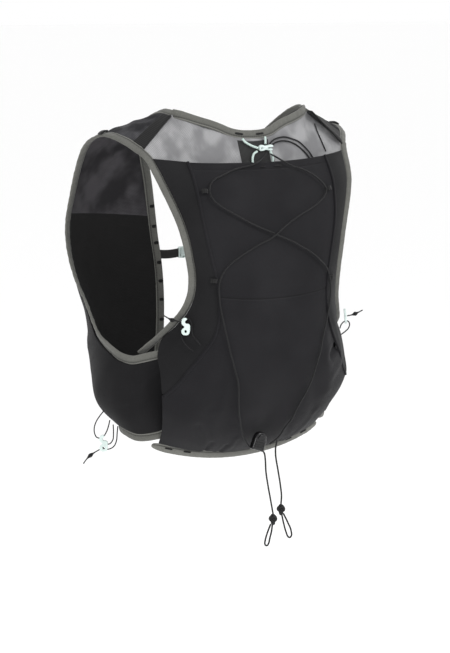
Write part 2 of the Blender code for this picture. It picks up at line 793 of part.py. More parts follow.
FRONT_CORD = [
    (0.8667, -0.3500, -0.8784),
    (0.8673, -0.3430, -0.9036),
    (0.8721, -0.3500, -0.9260),
    (0.8848, -0.3800, -0.9371),
    (0.9042, -0.4200, -0.9403),
    (0.9212, -0.4350, -0.9468),
    (0.9079, -0.4200, -0.9543),
    (0.8855, -0.3800, -0.9525),
    (0.8655, -0.3300, -0.9416),
    (0.8552, -0.3130, -0.9268),
    (0.8491, -0.3120, -0.9047),
    (0.8545, -0.2830, -0.8821),
]
FRONT_TAIL = [
    (0.9473, -0.4340, -0.9538),
    (0.9776, -0.4550, -0.9613),
    (1.0115, -0.4750, -0.9714),
    (1.0382, -0.4910, -0.9834),
    (1.0570, -0.4990, -0.9943),
]
# Where the hooks hang on their cords, in the same columns, the way that each one runs and the way it faces
REAR_HOOKS = {
    "left": ((0.6576, 0.6360, -0.5605), (0.0, 0.0, 1.0), (0.77, 0.62, 0.1)),
    "right": ((-0.6994, 0.6400, -0.5777), (-0.45, -0.64, 0.62), (-0.8, 0.6, 0.1)),
}
REAR_CORDS = {
    "left": (REAR_LOOP_LEFT, REAR_TAIL_LEFT),
    "right": (REAR_LOOP_RIGHT, REAR_TAIL_RIGHT),
}
FRONT_HOOK = ((0.9255, -0.4050, -0.9345), (0.0, 0.0, 1.0), (0.6, 0.8, 0.0))
# The right front hook hangs nearer the chest than the left one, by these shares
RIGHT_FRONT_SHIFT = (0.124, -0.344, 0.0035)
TAILS = {
    "left": (TAIL_LEFT, TAIL_LEFT_LOOP, (-0.0970, 0.5800, -1.1756)),
    "right": (TAIL_RIGHT, TAIL_RIGHT_LOOP, (-0.2109, 0.4800, -1.1569)),
}
# Places of the cord lock and the neck hook, in the same columns, and of the lacing's anchors in x and z
CLIP_PLACE = (0.0424, 0.6200, -0.9273)
NECK_HOOK_PLACE = (-0.0758, 0.4640, -0.0597)
ANCHORS = {
    "upper_left": (0.5273, -0.1719),
    "upper_right": (-0.5079, -0.1844),
    "lower_left": (0.4921, -0.4260),
    "lower_right": (-0.4982, -0.4468),
}
KNOT_SWELL = 2.6
MOST_STEPS = 78


def smooth_line(points, spacing):
    """Evenly spaced points on a smooth curve through the points."""
    points = np.array(points)
    fine = through(chords(points), points, np.linspace(0, 1, 40 * len(points)))
    steps = np.clip(int(chord_length(fine) / spacing), 4, MOST_STEPS)
    places = np.linspace(0, 1, steps + 1)
    return np.stack([np.interp(places, chords(fine), column) for column in fine.T], 1)


def cord(name, points, radius, look="cord", knot_at=None):
    """Round cord through points in shares. A knot swells it around that share of its length."""
    line = smooth_line(points * to_metres, 6 * radius)
    curve = bpy.data.curves.new(name, "CURVE")
    curve.dimensions = "3D"
    curve.bevel_depth = radius
    curve.bevel_resolution = 2
    curve.use_fill_caps = True
    spline = curve.splines.new("POLY")
    spline.points.add(len(line) - 1)
    spline.points.foreach_set("co", np.column_stack([line, np.ones(len(line))]).ravel())
    if knot_at is not None:
        away = (chords(line) - knot_at) / 0.12
        spline.points.foreach_set("radius", 1 + (KNOT_SWELL - 1) * np.exp(-(away**2)))
    return piece(name, curve, look)


def frame_of(along, facing):
    """Rotation whose columns point across, along and out of a flat piece."""
    out = unit(np.array(facing, float))
    up = np.array(along, float)
    up = unit(up - out * (up @ out))
    return np.stack([np.cross(up, out), up, out], 1)


def placed(thing, centre, turn):
    """Move an object to a centre, with a rotation given as columns."""
    matrix = np.eye(4)
    matrix[:3, :3], matrix[:3, 3] = turn, centre
    thing.matrix_world = Matrix(matrix.tolist())
    return thing


def block(name, size, centre, turn, look, edge_round=0.0006):
    """Box with rounded edges, its size given across, along and out."""
    mesh = bpy.data.meshes.new(name)
    shape = bmesh.new()
    bmesh.ops.create_cube(shape, size=1)
    bmesh.ops.scale(shape, vec=size, verts=shape.verts)
    shape.to_mesh(mesh)
    shape.free()
    thing = piece(name, mesh, look)
    rounding = thing.modifiers.new("edges", "BEVEL")
    rounding.width = edge_round
    rounding.segments = 1
    return placed(thing, centre, turn)


def ball(name, size, centre, look):
    """Knot as a stretched ball."""
    mesh = bpy.data.meshes.new(name)
    shape = bmesh.new()
    bmesh.ops.create_uvsphere(shape, u_segments=10, v_segments=7, radius=0.5)
    bmesh.ops.scale(shape, vec=size, verts=shape.verts)
    shape.to_mesh(mesh)
    shape.free()
    mesh.shade_smooth()
    return placed(piece(name, mesh, look), centre, np.eye(3))


def capsule(long, wide, middle_x, steps=6):
    """Outline of a bar with round ends, its long way along x."""
    half_turn = np.linspace(-np.pi / 2, np.pi / 2, steps)
    arc = np.stack([np.cos(half_turn), np.sin(half_turn)], 1) * wide / 2
    right = arc + [long / 2 - wide / 2 + middle_x, 0]
    left = -arc + [wide / 2 - long / 2 + middle_x, 0]
    return np.concatenate([right, left])


def hook(name, size, centre, turn, look="mint_plastic"):
    """Flat hook for a cord: a bar with round ends and a slot at one end."""
    long, wide, thick = size
    curve = bpy.data.curves.new(name, "CURVE")
    curve.dimensions = "2D"
    curve.fill_mode = "BOTH"
    curve.extrude = thick / 2
    for outline in (capsule(long, wide, 0), capsule(long * 0.42, wide * 0.36, long * 0.2)):
        spline = curve.splines.new("POLY")
        spline.points.add(len(outline) - 1)
        flat = np.column_stack([outline, np.zeros(len(outline)), np.ones(len(outline))])
        spline.points.foreach_set("co", flat.ravel())
        spline.use_cyclic_u = True
    return placed(piece(name, curve, look), centre, turn)


def on_pocket(x, z, lift):
    """Point at a lift over the stash pocket at x and z, and the way out of the cloth there."""
    grid = outer_back(np.linspace(-1, 1, 241)[None, :], np.linspace(0, 1, 241)[:, None] + np.zeros(241))
    way_out = normals(grid)
    away = (grid[..., 0] - x) ** 2 + (grid[..., 2] - z) ** 2
    row, column = np.unravel_index(np.argmin(away), away.shape)
    return grid[row, column] + way_out[row, column] * (cloth + lift), way_out[row, column]


def build_lacing():
    """Lacing over the stash pocket, its anchors, the clip at the hem and the two tails below it."""
    cord("lacing_left", LACING_LEFT, cord_radius)
    cord("lacing_right", LACING_RIGHT, cord_radius)
    for name, (x, z) in ANCHORS.items():
        centre, out = on_pocket(x * half_width, z * length, anchor_size[2] / 2 + gap)
        block("lace_anchor_" + name, anchor_size, centre, frame_of((0, 0, 1), out), "webbing", 0.0003)
    cord("mouth_cord_outer", MOUTH_CORD_OUTER, mouth_cord_radius)
    cord("mouth_cord_inner", MOUTH_CORD_INNER, mouth_cord_radius)
    block("lace_clip", clip_size, CLIP_PLACE * to_metres, frame_of((0, 0, 1), (0, 1, 0)),
          "black_plastic", clip_round)
    for side, (tail, loop, knot) in TAILS.items():
        cord("tail_" + side, tail, cord_radius)
        cord("tail_loop_" + side, loop, cord_radius)
        ball("tail_knot_" + side, knot_size, knot * to_metres, "cord")


def build_neck_hook():
    """Hook between its four cord legs, on the yoke."""
    for name, points in NECK_CORDS.items():
        cord("neck_cord_" + name, points, neck_cord_radius, "mint_cord")
    hook("neck_hook", neck_hook_size, NECK_HOOK_PLACE * to_metres, frame_of((0, 0.3, 1), (0, 1, -0.3)))


def build_side_hooks():
    """Tension hooks with their thin cords: one behind each arm and one below each front."""
    quarter_turn = np.array([[0, -1, 0], [1, 0, 0], [0, 0, 1]])
    for side, (centre, along, facing) in REAR_HOOKS.items():
        loop, tail = REAR_CORDS[side]
        hook("rear_hook_" + side, hook_size, centre * to_metres, frame_of(along, facing) @ quarter_turn)
        cord("rear_hook_loop_" + side, loop, thin_cord_radius)
        cord("rear_hook_tail_" + side, tail, thin_cord_radius, knot_at=0.5)
    centre, along, facing = FRONT_HOOK
    for side, mirror in (("left", np.ones(3)), ("right", np.array([-1, 1, 1]))):
        shift = np.array(RIGHT_FRONT_SHIFT) if side == "right" else np.zeros(3)
        turn = frame_of(along, facing * mirror) @ quarter_turn
        hook("front_hook_" + side, hook_size, (centre * mirror + shift) * to_metres, turn)
        cord("front_hook_loop_" + side, FRONT_LOOP * mirror + shift, thin_cord_radius)
        cord("front_hook_cord_" + side, FRONT_CORD * mirror + shift, thin_cord_radius)
        cord("front_hook_tail_" + side, FRONT_TAIL * mirror + shift, thin_cord_radius, knot_at=0.5)


def build_chest():
    """Strap and buckle between the fronts, and the small tabs on top of the shoulders."""
    row = STERNUM_ROW
    end = strap_edges(np.array([row]))[1][0]
    height, front = end[2], end[1] - 0.0010
    reach = end[0] - binding_width / 2 - gap
    buckle_left, buckle_right = 0.0040, 0.0040 - buckle_size[0]
    for side, start, stop in (("left", reach, buckle_left + gap), ("right", buckle_right - gap, -reach)):
        run = np.linspace(start, stop, 5)
        path = np.stack([run, np.full(5, front), np.full(5, height)], 1)
        strip("sternum_strap_" + side, path, np.array([[0, 0, 1.0]] * 5), webbing_width, webbing_thick,
              "webbing")
    centre = (buckle_left - buckle_size[0] / 2, front, height)
    block("sternum_buckle", buckle_size, centre, frame_of((0, 0, 1), (0, -1, 0)), "mint_plastic", buckle_round)
    places = np.array([2.25])
    top = strap_edges(places)[0][0]
    along = strap_edges(places + 0.1)[0][0] - strap_edges(places - 0.1)[0][0]
    inward = strap_sheet(places, np.array([0.05]))[0] - top
    out = unit(np.cross(inward, along))
    centre = top + out * (binding_thick / 2 + gap + tab_size[2] / 2)
    for side, mirror in (("left", np.ones(3)), ("right", np.array([-1, 1, 1]))):
        turn = frame_of(inward * mirror, out * mirror)
        block("shoulder_tab_" + side, tab_size, centre * mirror, turn, "webbing")
    cord("shoulder_cord_right", SHOULDER_CORD, thin_cord_radius)


build_back()
build_straps()
build_bindings()
build_lacing()
build_neck_hook()
build_side_hooks()
build_chest()
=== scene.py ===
# %% [markdown]
# # A running vest in Blender
# The vest is one band of cloth around each arm, joined by a back with a stretch pocket on it.
# Plain solids of every piece are already packed. This lesson dresses them: each cloth panel
# becomes a fine surface with folds and a weave, each cord a braided tube, each hook a moulded part.

# %% Load the solids
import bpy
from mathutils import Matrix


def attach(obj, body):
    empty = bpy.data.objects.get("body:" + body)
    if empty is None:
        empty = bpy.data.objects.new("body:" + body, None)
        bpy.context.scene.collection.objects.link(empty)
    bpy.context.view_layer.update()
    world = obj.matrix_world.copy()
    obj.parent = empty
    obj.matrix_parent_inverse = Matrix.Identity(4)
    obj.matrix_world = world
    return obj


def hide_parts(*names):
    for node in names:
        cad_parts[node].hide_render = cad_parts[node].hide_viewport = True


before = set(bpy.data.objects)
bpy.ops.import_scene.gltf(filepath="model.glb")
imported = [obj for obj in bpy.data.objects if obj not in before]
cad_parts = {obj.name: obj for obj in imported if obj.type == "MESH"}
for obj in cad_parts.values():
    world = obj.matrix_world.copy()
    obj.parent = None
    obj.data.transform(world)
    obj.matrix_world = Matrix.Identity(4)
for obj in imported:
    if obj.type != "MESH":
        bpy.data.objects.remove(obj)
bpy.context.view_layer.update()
print("solids:", len(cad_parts))

import bpy
import numpy as np
from mathutils import Matrix, Vector

# %% [markdown]
# ## The view
# The camera comes first, because every later choice is judged through it. A long lens from a few
# steps away keeps the vest's proportions. Its place is given, and a turn and a tilt say where
# it looks.

# %% Camera
EYE = (1.4540, 2.0766, 0.1440)
TURN, TILT = np.radians(35.0), np.radians(8.45)
FOCAL_PIXELS, LONG_SIDE, OFF_CENTRE = 2205, 653, 8

lens = bpy.data.cameras.new("camera")
lens.lens = FOCAL_PIXELS / LONG_SIDE * lens.sensor_width
lens.shift_x = -OFF_CENTRE / LONG_SIDE
camera = bpy.data.objects.new("camera", lens)
camera.location = EYE
looks_along = Vector((-np.sin(TURN) * np.cos(TILT), -np.cos(TURN) * np.cos(TILT), -np.sin(TILT)))
camera.rotation_euler = looks_along.to_track_quat("-Z", "Y").to_euler()
bpy.context.scene.collection.objects.link(camera)
bpy.context.scene.camera = camera
print("lens:", round(lens.lens, 1), "mm")

# %% [markdown]
# ## Sizes and edge tables
# A worn garment has no straight line in it, so it is described by its edges. Each table follows one
# edge in a few points, in shares of the half width, the depth and the length. Everything else is
# worked out between those edges, so one changed number moves the cloth, its binding and its seams.

# %% Driving sizes
half_width = 0.165
depth = 0.100
length = 0.385
cloth = 0.0012
gap = 0.0003
seam_room = 0.0009
# How much thicker a shoulder band is than the other cloth, on each of its faces
SEAM_LAP = 0.0003
binding_width = 0.0100
binding_thick = 0.0034
strip_width = 0.0370
strip_thick = 0.0006
cord_radius = 0.0010
thin_cord_radius = 0.0007
mouth_cord_radius = 0.0009
neck_cord_radius = 0.0013
webbing_width = 0.0105
webbing_thick = 0.0014
buckle_size = (0.0220, 0.0140, 0.0050)
clip_size = (0.0170, 0.0220, 0.0080)
hook_size = (0.0200, 0.0090, 0.0028)
neck_hook_size = (0.0190, 0.0070, 0.0040)
knot_size = (0.0074, 0.0074, 0.0108)

# %% Edge tables
# Armhole edge at the back, from the shoulder seam down to the tip behind the wing.
# Columns: x in half widths, y in depths, z in lengths
ARMHOLE_BACK = [
    (0.858, 0.220, -0.055),
    (0.823, 0.310, -0.078),
    (0.800, 0.415, -0.117),
    (0.778, 0.500, -0.156),
    (0.736, 0.575, -0.208),
    (0.693, 0.625, -0.260),
    (0.659, 0.652, -0.312),
    (0.635, 0.664, -0.364),
    (0.615, 0.664, -0.416),
    (0.614, 0.635, -0.468),
    (0.643, 0.557, -0.519),
    (0.696, 0.460, -0.558),
    (0.752, 0.345, -0.595),
    (0.780, 0.200, -0.625),
    (0.790, 0.060, -0.650),
]
WAIST_ROW = 13

# Side edge of the inner back panel, below the armhole, under the wing. Columns as above
PANEL_SIDE = [
    (0.742, 0.225, -0.640),
    (0.733, 0.260, -0.700),
    (0.715, 0.240, -0.780),
    (0.690, 0.140, -0.870),
    (0.680, 0.070, -0.935),
]

# Side edge of the stash pocket, below the armhole, over the wing. Columns as above
POCKET_SIDE = [
    (0.790, 0.360, -0.640),
    (0.798, 0.425, -0.700),
    (0.800, 0.460, -0.760),
    (0.780, 0.420, -0.800),
    (0.745, 0.330, -0.845),
    (0.715, 0.235, -0.885),
    (0.680, 0.070, -0.935),
]

# Line down the middle of the back. Columns: y in depths, z in lengths
PANEL_MIDDLE = [
    (0.385, -0.023),
    (0.425, -0.065),
    (0.470, -0.105),
    (0.560, -0.160),
    (0.640, -0.230),
    (0.680, -0.310),
    (0.690, -0.400),
    (0.670, -0.500),
    (0.600, -0.600),
    (0.500, -0.700),
    (0.380, -0.800),
    (0.250, -0.900),
    (0.140, -0.984),
]
POCKET_MIDDLE = [
    (0.545, -0.100),
    (0.690, -0.160),
    (0.780, -0.230),
    (0.835, -0.305),
    (0.850, -0.390),
    (0.875, -0.490),
    (0.905, -0.580),
    (0.915, -0.660),
    (0.885, -0.730),
    (0.800, -0.795),
    (0.690, -0.855),
    (0.560, -0.905),
    (0.380, -0.950),
    (0.140, -0.984),
]

# Neck edge from the middle of the back to the shoulder seam. Columns: x, y, z as for the armhole
NECK = [
    (0.000, 0.370, -0.021),
    (0.090, 0.365, -0.019),
    (0.170, 0.345, -0.012),
    (0.236, 0.320, 0.000),
    (0.303, 0.300, 0.011),
    (0.382, 0.280, 0.021),
    (0.455, 0.250, 0.031),
    (0.521, 0.200, 0.041),
    (0.563, 0.120, 0.046),
]

# The strap, the front and the wing, from the shoulder seam to the end of the wing at the back.
# Columns: armhole edge x, y, z; neck, front and hem edge x, y, z; crown of the cloth between
# them and of the pocket over it, in depths
STRAP = [
    (0.858, 0.220, -0.055, 0.563, 0.120, 0.046, 0.01, 0.03),
    (0.918, 0.080, -0.029, 0.585, 0.000, 0.050, 0.01, 0.04),
    (0.968, -0.150, -0.013, 0.588, -0.200, 0.036, 0.01, 0.05),
    (0.997, -0.360, -0.026, 0.570, -0.420, 0.004, 0.02, 0.06),
    (1.000, -0.550, -0.058, 0.515, -0.640, -0.045, 0.04, 0.10),
    (0.990, -0.740, -0.125, 0.420, -0.820, -0.100, 0.07, 0.14),
    (0.982, -0.900, -0.210, 0.327, -0.980, -0.173, 0.12, 0.24),
    (0.982, -0.990, -0.278, 0.267, -1.070, -0.257, 0.17, 0.35),
    (0.988, -0.980, -0.338, 0.230, -1.100, -0.345, 0.20, 0.40),
    (0.988, -0.910, -0.400, 0.213, -1.060, -0.430, 0.22, 0.42),
    (0.980, -0.800, -0.460, 0.212, -1.020, -0.515, 0.23, 0.40),
    (0.968, -0.650, -0.515, 0.222, -0.990, -0.600, 0.23, 0.38),
    (0.957, -0.535, -0.568, 0.240, -0.980, -0.690, 0.22, 0.40),
    (0.950, -0.440, -0.605, 0.290, -0.990, -0.790, 0.20, 0.41),
    (0.939, -0.340, -0.627, 0.400, -0.960, -0.868, 0.18, 0.36),
    (0.924, -0.200, -0.647, 0.580, -0.800, -0.886, 0.14, 0.31),
    (0.903, -0.080, -0.663, 0.740, -0.520, -0.893, 0.10, 0.27),
    (0.870, 0.080, -0.669, 0.840, -0.220, -0.890, 0.07, 0.18),
    (0.830, 0.210, -0.660, 0.800, 0.000, -0.905, 0.04, 0.10),
    (0.794, 0.300, -0.652, 0.688, 0.130, -0.899, 0.02, 0.04),
    (0.757, 0.360, -0.647, 0.635, 0.170, -0.888, 0.01, 0.02),
]
# Row numbers in that table, counted from 0: where the shoulder band ends, where the front and its
# pocket begin, where the inner front and the pocket end, and where the chest strap is sewn on
BAND_ROW = 0.55
FRONT_ROW = 3.0
POCKET_ROW = 6.9
INNER_LAST_ROW = 16.5
LAST_ROW = 20.0
STERNUM_ROW = 8.7
# How far down the middle line the armhole goes, and how far out the hem's tape reaches, as shares
ARMHOLE_SHARE = 0.66
HEM_REACH = 1.045

# Seam between the stash pocket's middle and its side, as a share of the half width at that
# height. Columns: share down the pocket's side edge, share across
POCKET_SEAM = [
    (0.00, 0.70),
    (0.10, 0.74),
    (0.25, 0.80),
    (0.36, 0.77),
    (0.48, 0.72),
    (0.55, 0.70),
    (0.62, 0.74),
    (0.68, 0.81),
    (0.74, 0.89),
    (0.78, 0.965),
]

# Where the strip on the yoke starts and ends, as shares down the back
STRIP_TOP = 0.020
STRIP_FOOT = 0.130

to_metres = np.array([half_width, depth, length])
MIRROR = np.array([-1, 1, 1.0])
BOTH_SIDES = (("left", np.ones(3)), ("right", MIRROR))


# %% [markdown]
# ## Sheets between edges
# A back panel hangs between its middle line and its side edge; a strap runs between its armhole edge
# and its outer edge, with a crown between them. Both are functions of two shares, one down the cloth
# and one across it, so they can be cut into a grid as fine as the render needs.

# %% Smooth curves through a table
def through(knots, values, places):
    """Smooth curve through the values: a cubic between two knots, its slopes from the neighbours."""
    knots, values = np.asarray(knots, float), np.asarray(values, float)
    places = np.clip(places, knots[0], knots[-1])
    slope = np.gradient(values, knots, axis=0)
    left = np.clip(np.searchsorted(knots, places, side="right") - 1, 0, len(knots) - 2)
    step = (knots[left + 1] - knots[left])[..., None]
    share = (places - knots[left])[..., None] / step
    rest = 1 - share
    return (
        (1 + 2 * share) * rest**2 * values[left]
        + share * rest**2 * step * slope[left]
        + share**2 * (1 + 2 * rest) * values[left + 1]
        - share**2 * rest * step * slope[left + 1]
    )


def chords(rows):
    """Share of the whole length at which each row lies."""
    steps = np.linalg.norm(np.diff(rows, axis=0), axis=1)
    return np.concatenate([[0], np.cumsum(steps)]) / steps.sum()


def chord_length(rows):
    """Whole length of a run of points."""
    return np.linalg.norm(np.diff(rows, axis=0), axis=1).sum()


def metres_along(rows):
    """Distance of each point from the first one, along the points."""
    return chords(rows) * chord_length(rows)


def unit(vectors):
    """Vectors of length one."""
    return vectors / np.maximum(np.linalg.norm(vectors, axis=-1, keepdims=True), 1e-12)


def edge(rows, places):
    """Points of an edge table, in metres, at shares of its length."""
    rows = np.array(rows) * to_metres
    return through(chords(rows), rows, places)


def middle(rows, places):
    """Points of a middle line's table, in metres, at shares of its length."""
    rows = np.array([(0, y, z) for y, z in rows]) * to_metres
    return through(chords(rows), rows, places)


def neck_rows():
    """The neck edge's points and then the shoulder seam's outer end, in metres."""
    return np.array(NECK + [ARMHOLE_BACK[0]]) * to_metres


def neck_and_seam(shares):
    """Top of the inner back panel for shares 0 to 1: the neck edge, then the shoulder seam."""
    rows = neck_rows()
    knots = chords(rows)
    points = through(knots[:-1], rows[:-1], shares)
    along_seam = np.clip((shares - knots[-2]) / (1 - knots[-2]), 0, 1)[..., None]
    return points + (rows[-1] - rows[-2]) * along_seam


# %% The back as a sheet
def back_sheet(across, down, middle_rows, side_rows, roundness, top=None, top_hold=8):
    """Cloth of the back: flat in the middle and rolled off to the sides, for shares across and down."""
    side = np.abs(across)[..., None]
    centre, rim = middle(middle_rows, down), edge(side_rows, down)
    weight = np.concatenate([side, side**roundness, side**2], axis=-1)
    points = centre + (rim - centre) * weight
    if top is not None:
        start, end = middle(middle_rows, np.zeros(1))[0], edge(side_rows, np.zeros(1))[0]
        points += (top(side[..., 0]) - start - (end - start) * weight) * (1 - down[..., None]) ** top_hold
    points[..., 0] *= np.sign(across)
    return points


def panel_side_rows():
    """Side edge of the inner back panel: the armhole, then the side under the wing."""
    return ARMHOLE_BACK[:WAIST_ROW] + PANEL_SIDE


def pocket_side_rows():
    """Side edge of the stash pocket: the armhole below the mouth, then the edge over the wing."""
    return ARMHOLE_BACK[1:WAIST_ROW] + POCKET_SIDE


def inner_back(across, down):
    """Mid surface of the inner back panel."""
    return back_sheet(across, down, PANEL_MIDDLE, panel_side_rows(), 3.0, top=neck_and_seam)


def outer_back(across, down):
    """Mid surface of the stash pocket over the back panel."""
    return back_sheet(across, down, POCKET_MIDDLE, pocket_side_rows(), 4.0)


# %% The strap, front and wing as a sheet
def strap_edges(rows):
    """Armhole edge, other edge and both crowns of the left strap at places in row numbers."""
    table = np.array(STRAP) * np.concatenate([to_metres, to_metres, [depth, depth]])
    values = through(np.arange(len(table)), table, rows)
    return values[..., :3], values[..., 3:6], values[..., 6], values[..., 7]


def strap_sheet(rows, across, over=False):
    """Cloth of the left strap, front and wing, or of the pocket over it, for rows and shares across."""
    armhole, other, inner, outer = strap_edges(rows)
    ahead = strap_edges(rows + 0.05)
    behind = strap_edges(rows - 0.05)
    forward = (ahead[0] + ahead[1]) - (behind[0] + behind[1])
    outward = unit(np.cross(other - armhole, forward))
    height = outer if over else inner
    bump = 4 * across * (1 - across)
    return armhole + (other - armhole) * across[..., None] + outward * (height * bump)[..., None]


def normals(grid):
    """Unit normals of a grid of points, from its two directions."""
    return unit(np.cross(np.gradient(grid, axis=1), np.gradient(grid, axis=0)))


def mirrored(grid):
    """The same grid for the wearer's right, wound so that it still faces out."""
    return (grid * MIRROR)[:, ::-1]


# %% Grids that end under their bindings
def room_share(rim, near, step, ahead, room):
    """Share of the way in from a rim that leaves room beside it. Near lies a step in, ahead along it."""
    inward = (near - rim) / step
    sine = np.linalg.norm(np.cross(inward, unit(ahead)), axis=-1)
    return room / np.maximum(sine, 1e-6)


# How far cloth reaches under a tape's inner edge, how much sooner the pocket stops at the hem, how much
# further its sides reach over the wings, and the shares down them between which that sets in
TUCK = 0.0006
HEM_SHOWN = 0.0016
WING_LAP = 0.0020
BELOW_ARMHOLE = (0.58, 0.66)
inset = binding_width / 2 - TUCK


def back_grid(sheet, start, end, rows, columns, top_room=0.0):
    """Grid on a sheet of the back, clear of its side bindings and of the hem, for shares down it."""
    down, across = np.linspace(0, 1, rows), np.linspace(-1, 1, columns)
    places, one, small = start + (end - start) * down, np.ones(rows), 0.01
    rim = sheet(one, places)
    ahead = sheet(one, places + small) - sheet(one, np.maximum(places - small, 0))
    side = room_share(rim, sheet(one - small, places), small, ahead, inset)
    flat, along = np.zeros(columns), np.clip(across + small, -1, 1)
    top = room_share(sheet(across, flat), sheet(across, flat + small), small,
                     sheet(along, flat) - sheet(along - 2 * small, flat), top_room)
    foot = room_share(sheet(across, flat + 1), sheet(across, flat + 1 - small), small,
                      sheet(along, flat + 1) - sheet(along - 2 * small, flat + 1), inset)
    foot = np.where(end < 1, 0, foot)
    rows_down = start + top + (end - start - top - foot) * down[:, None]
    return sheet(across * (1 - side[:, None]), rows_down)


def inner_back_grid(rows, columns):
    """Inner back panel between its bindings and the shoulder seams."""
    across = np.abs(np.linspace(-1, 1, columns))
    top_room = np.where(across < chords(neck_rows())[-2], inset, seam_room)
    return back_grid(inner_back, 0, 1, rows, columns, top_room)


def seam_share(down):
    """Share across the back at which the stash pocket's side seam runs."""
    table = np.array(POCKET_SEAM)
    return through(table[:, 0], table[:, 1:], down)[..., 0]


def pocket_places(rows):
    """Places down the stash pocket, from its mouth to the hem binding."""
    foot = (inset + HEM_SHOWN) / chord_length(middle(POCKET_MIDDLE, np.linspace(0, 1, rows)))
    return np.linspace(0, 1 - foot, rows)


def side_room(down):
    """Share across the back that the side edge's binding takes from the stash pocket."""
    one, small = np.ones(len(down)), 0.01
    ahead = outer_back(one, down + small) - outer_back(one, np.maximum(down - small, 0))
    room = np.interp(down, BELOW_ARMHOLE, [inset, inset - WING_LAP])
    return room_share(outer_back(one, down), outer_back(one - small, down), small, ahead, room)


def stash_pocket_grid(rows, columns):
    """Middle of the stash pocket: between the side seams, then out to both side edges."""
    down, across = pocket_places(rows), np.linspace(-1, 1, columns)
    full = 1 - side_room(down)
    reach = np.where(down < POCKET_SEAM[-1][0], np.minimum(seam_share(down), full), full)
    return outer_back(across[None, :] * reach[:, None], down[:, None] + np.zeros(columns))


def side_grid(rows, columns):
    """Side of the stash pocket, from its seam to the armhole, on the wearer's left."""
    down = pocket_places(rows)
    down = down[down < POCKET_SEAM[-1][0]]
    start, end = seam_share(down) + seam_room / half_width, 1 - side_room(down)
    across = start[:, None] + (end - start)[:, None] * np.linspace(0, 1, columns)[None, :]
    return outer_back(across, down[:, None] + np.zeros(columns))


def strap_grid(first, last, rows, columns, over=False, room=inset):
    """Part of the left strap between its bindings, from one row number to another."""
    places = np.linspace(first, last, rows)
    zero, small = np.zeros(rows), 0.01
    shares = []
    for rim, way in ((zero, 1), (zero + 1, -1)):
        ahead = strap_sheet(places + small, rim) - strap_sheet(places - small, rim)
        near = strap_sheet(places, rim + way * small)
        shares.append(room_share(strap_sheet(places, rim), near, small, ahead, room))
    across = shares[0][:, None] + (1 - shares[0] - shares[1])[:, None] * np.linspace(0, 1, columns)[None, :]
    return strap_sheet(places[:, None] + np.zeros(columns), across, over)


def centre_strip_grid(rows, columns):
    """Strip down the middle of the yoke, from the neck binding to below the pocket's mouth."""
    down = np.linspace(STRIP_TOP, STRIP_FOOT, rows)
    reach = strip_width / 2 / edge(panel_side_rows(), down)[:, 0]
    across = np.linspace(-1, 1, columns)[None, :] * reach[:, None]
    return inner_back(across, down[:, None] + np.zeros(columns))


# %% Paths of the bindings
def armhole_path(count):
    """Centre line of the left armhole's binding and the direction to its cloth at each point."""
    along = np.linspace(LAST_ROW, 0, 240)
    front = strap_edges(along)[0]
    front_in = strap_sheet(along, np.full(240, 0.04)) - front
    down = np.linspace(0, 1, 120)[1:]
    back = edge(ARMHOLE_BACK, down)
    back_in = middle(PANEL_MIDDLE, down * ARMHOLE_SHARE) - back
    back_in[:, 1] = np.maximum(back_in[:, 1], 0)
    inward = np.concatenate([unit(front_in), unit(back_in)])
    return resampled(np.concatenate([front, back]), inward, count)


def edge_path(first, last, count):
    """Neck, front or hem edge of the left strap between two row numbers, and the way to its cloth."""
    rows = np.linspace(first, last, count)
    path = strap_edges(rows)[1]
    return path, unit(strap_sheet(rows, np.full(count, 0.96)) - path)


def front_edge_path(count):
    """Neck, front and wing edges in one line, from the left wing's end to the right one's."""
    front, front_in = edge_path(LAST_ROW, 0, 300)
    shares = np.linspace(chords(neck_rows())[-2], 0, 60)[1:]
    none, little = np.zeros(len(shares)), np.full(len(shares), 0.02)
    neck, below = inner_back(shares, none), inner_back(shares, little)
    half = np.concatenate([front, neck])
    half_in = np.concatenate([front_in, unit(below - neck)])
    path = np.concatenate([half, (half * MIRROR)[-2::-1]])
    inward = np.concatenate([half_in, (half_in * MIRROR)[-2::-1]])
    return resampled(path, inward, count)


def resampled(path, inward, count):
    """The path and the directions on it at evenly spaced places."""
    knots, places = chords(path), np.linspace(0, 1, count)
    columns = [np.interp(places, knots, both) for both in np.concatenate([path, inward], 1).T]
    return np.stack(columns[:3], 1), np.stack(columns[3:], 1)


def hem_path(count):
    """Hem of the back, from the wearer's left to the right."""
    shares = np.linspace(HEM_REACH, -HEM_REACH, count)
    path = inner_back(shares, np.ones(count))
    above = inner_back(shares * 0.98, np.full(count, 0.97))
    return path, unit(above - path)


# %% Turned parts and places on the pocket
def frame_of(along, facing):
    """Rotation whose columns point across, along and out of a flat piece."""
    out = unit(np.array(facing, float))
    up = np.array(along, float)
    up = unit(up - out * (up @ out))
    return np.stack([np.cross(up, out), up, out], 1)


def on_pocket(x, z, lift):
    """Point at a lift over the stash pocket at x and z, and the way out of the cloth there."""
    grid = outer_back(np.linspace(-1, 1, 241)[None, :], np.linspace(0, 1, 241)[:, None] + np.zeros(241))
    way_out = normals(grid)
    away = (grid[..., 0] - x) ** 2 + (grid[..., 2] - z) ** 2
    row, column = np.unravel_index(np.argmin(away), away.shape)
    return grid[row, column] + way_out[row, column] * (cloth + lift), way_out[row, column]


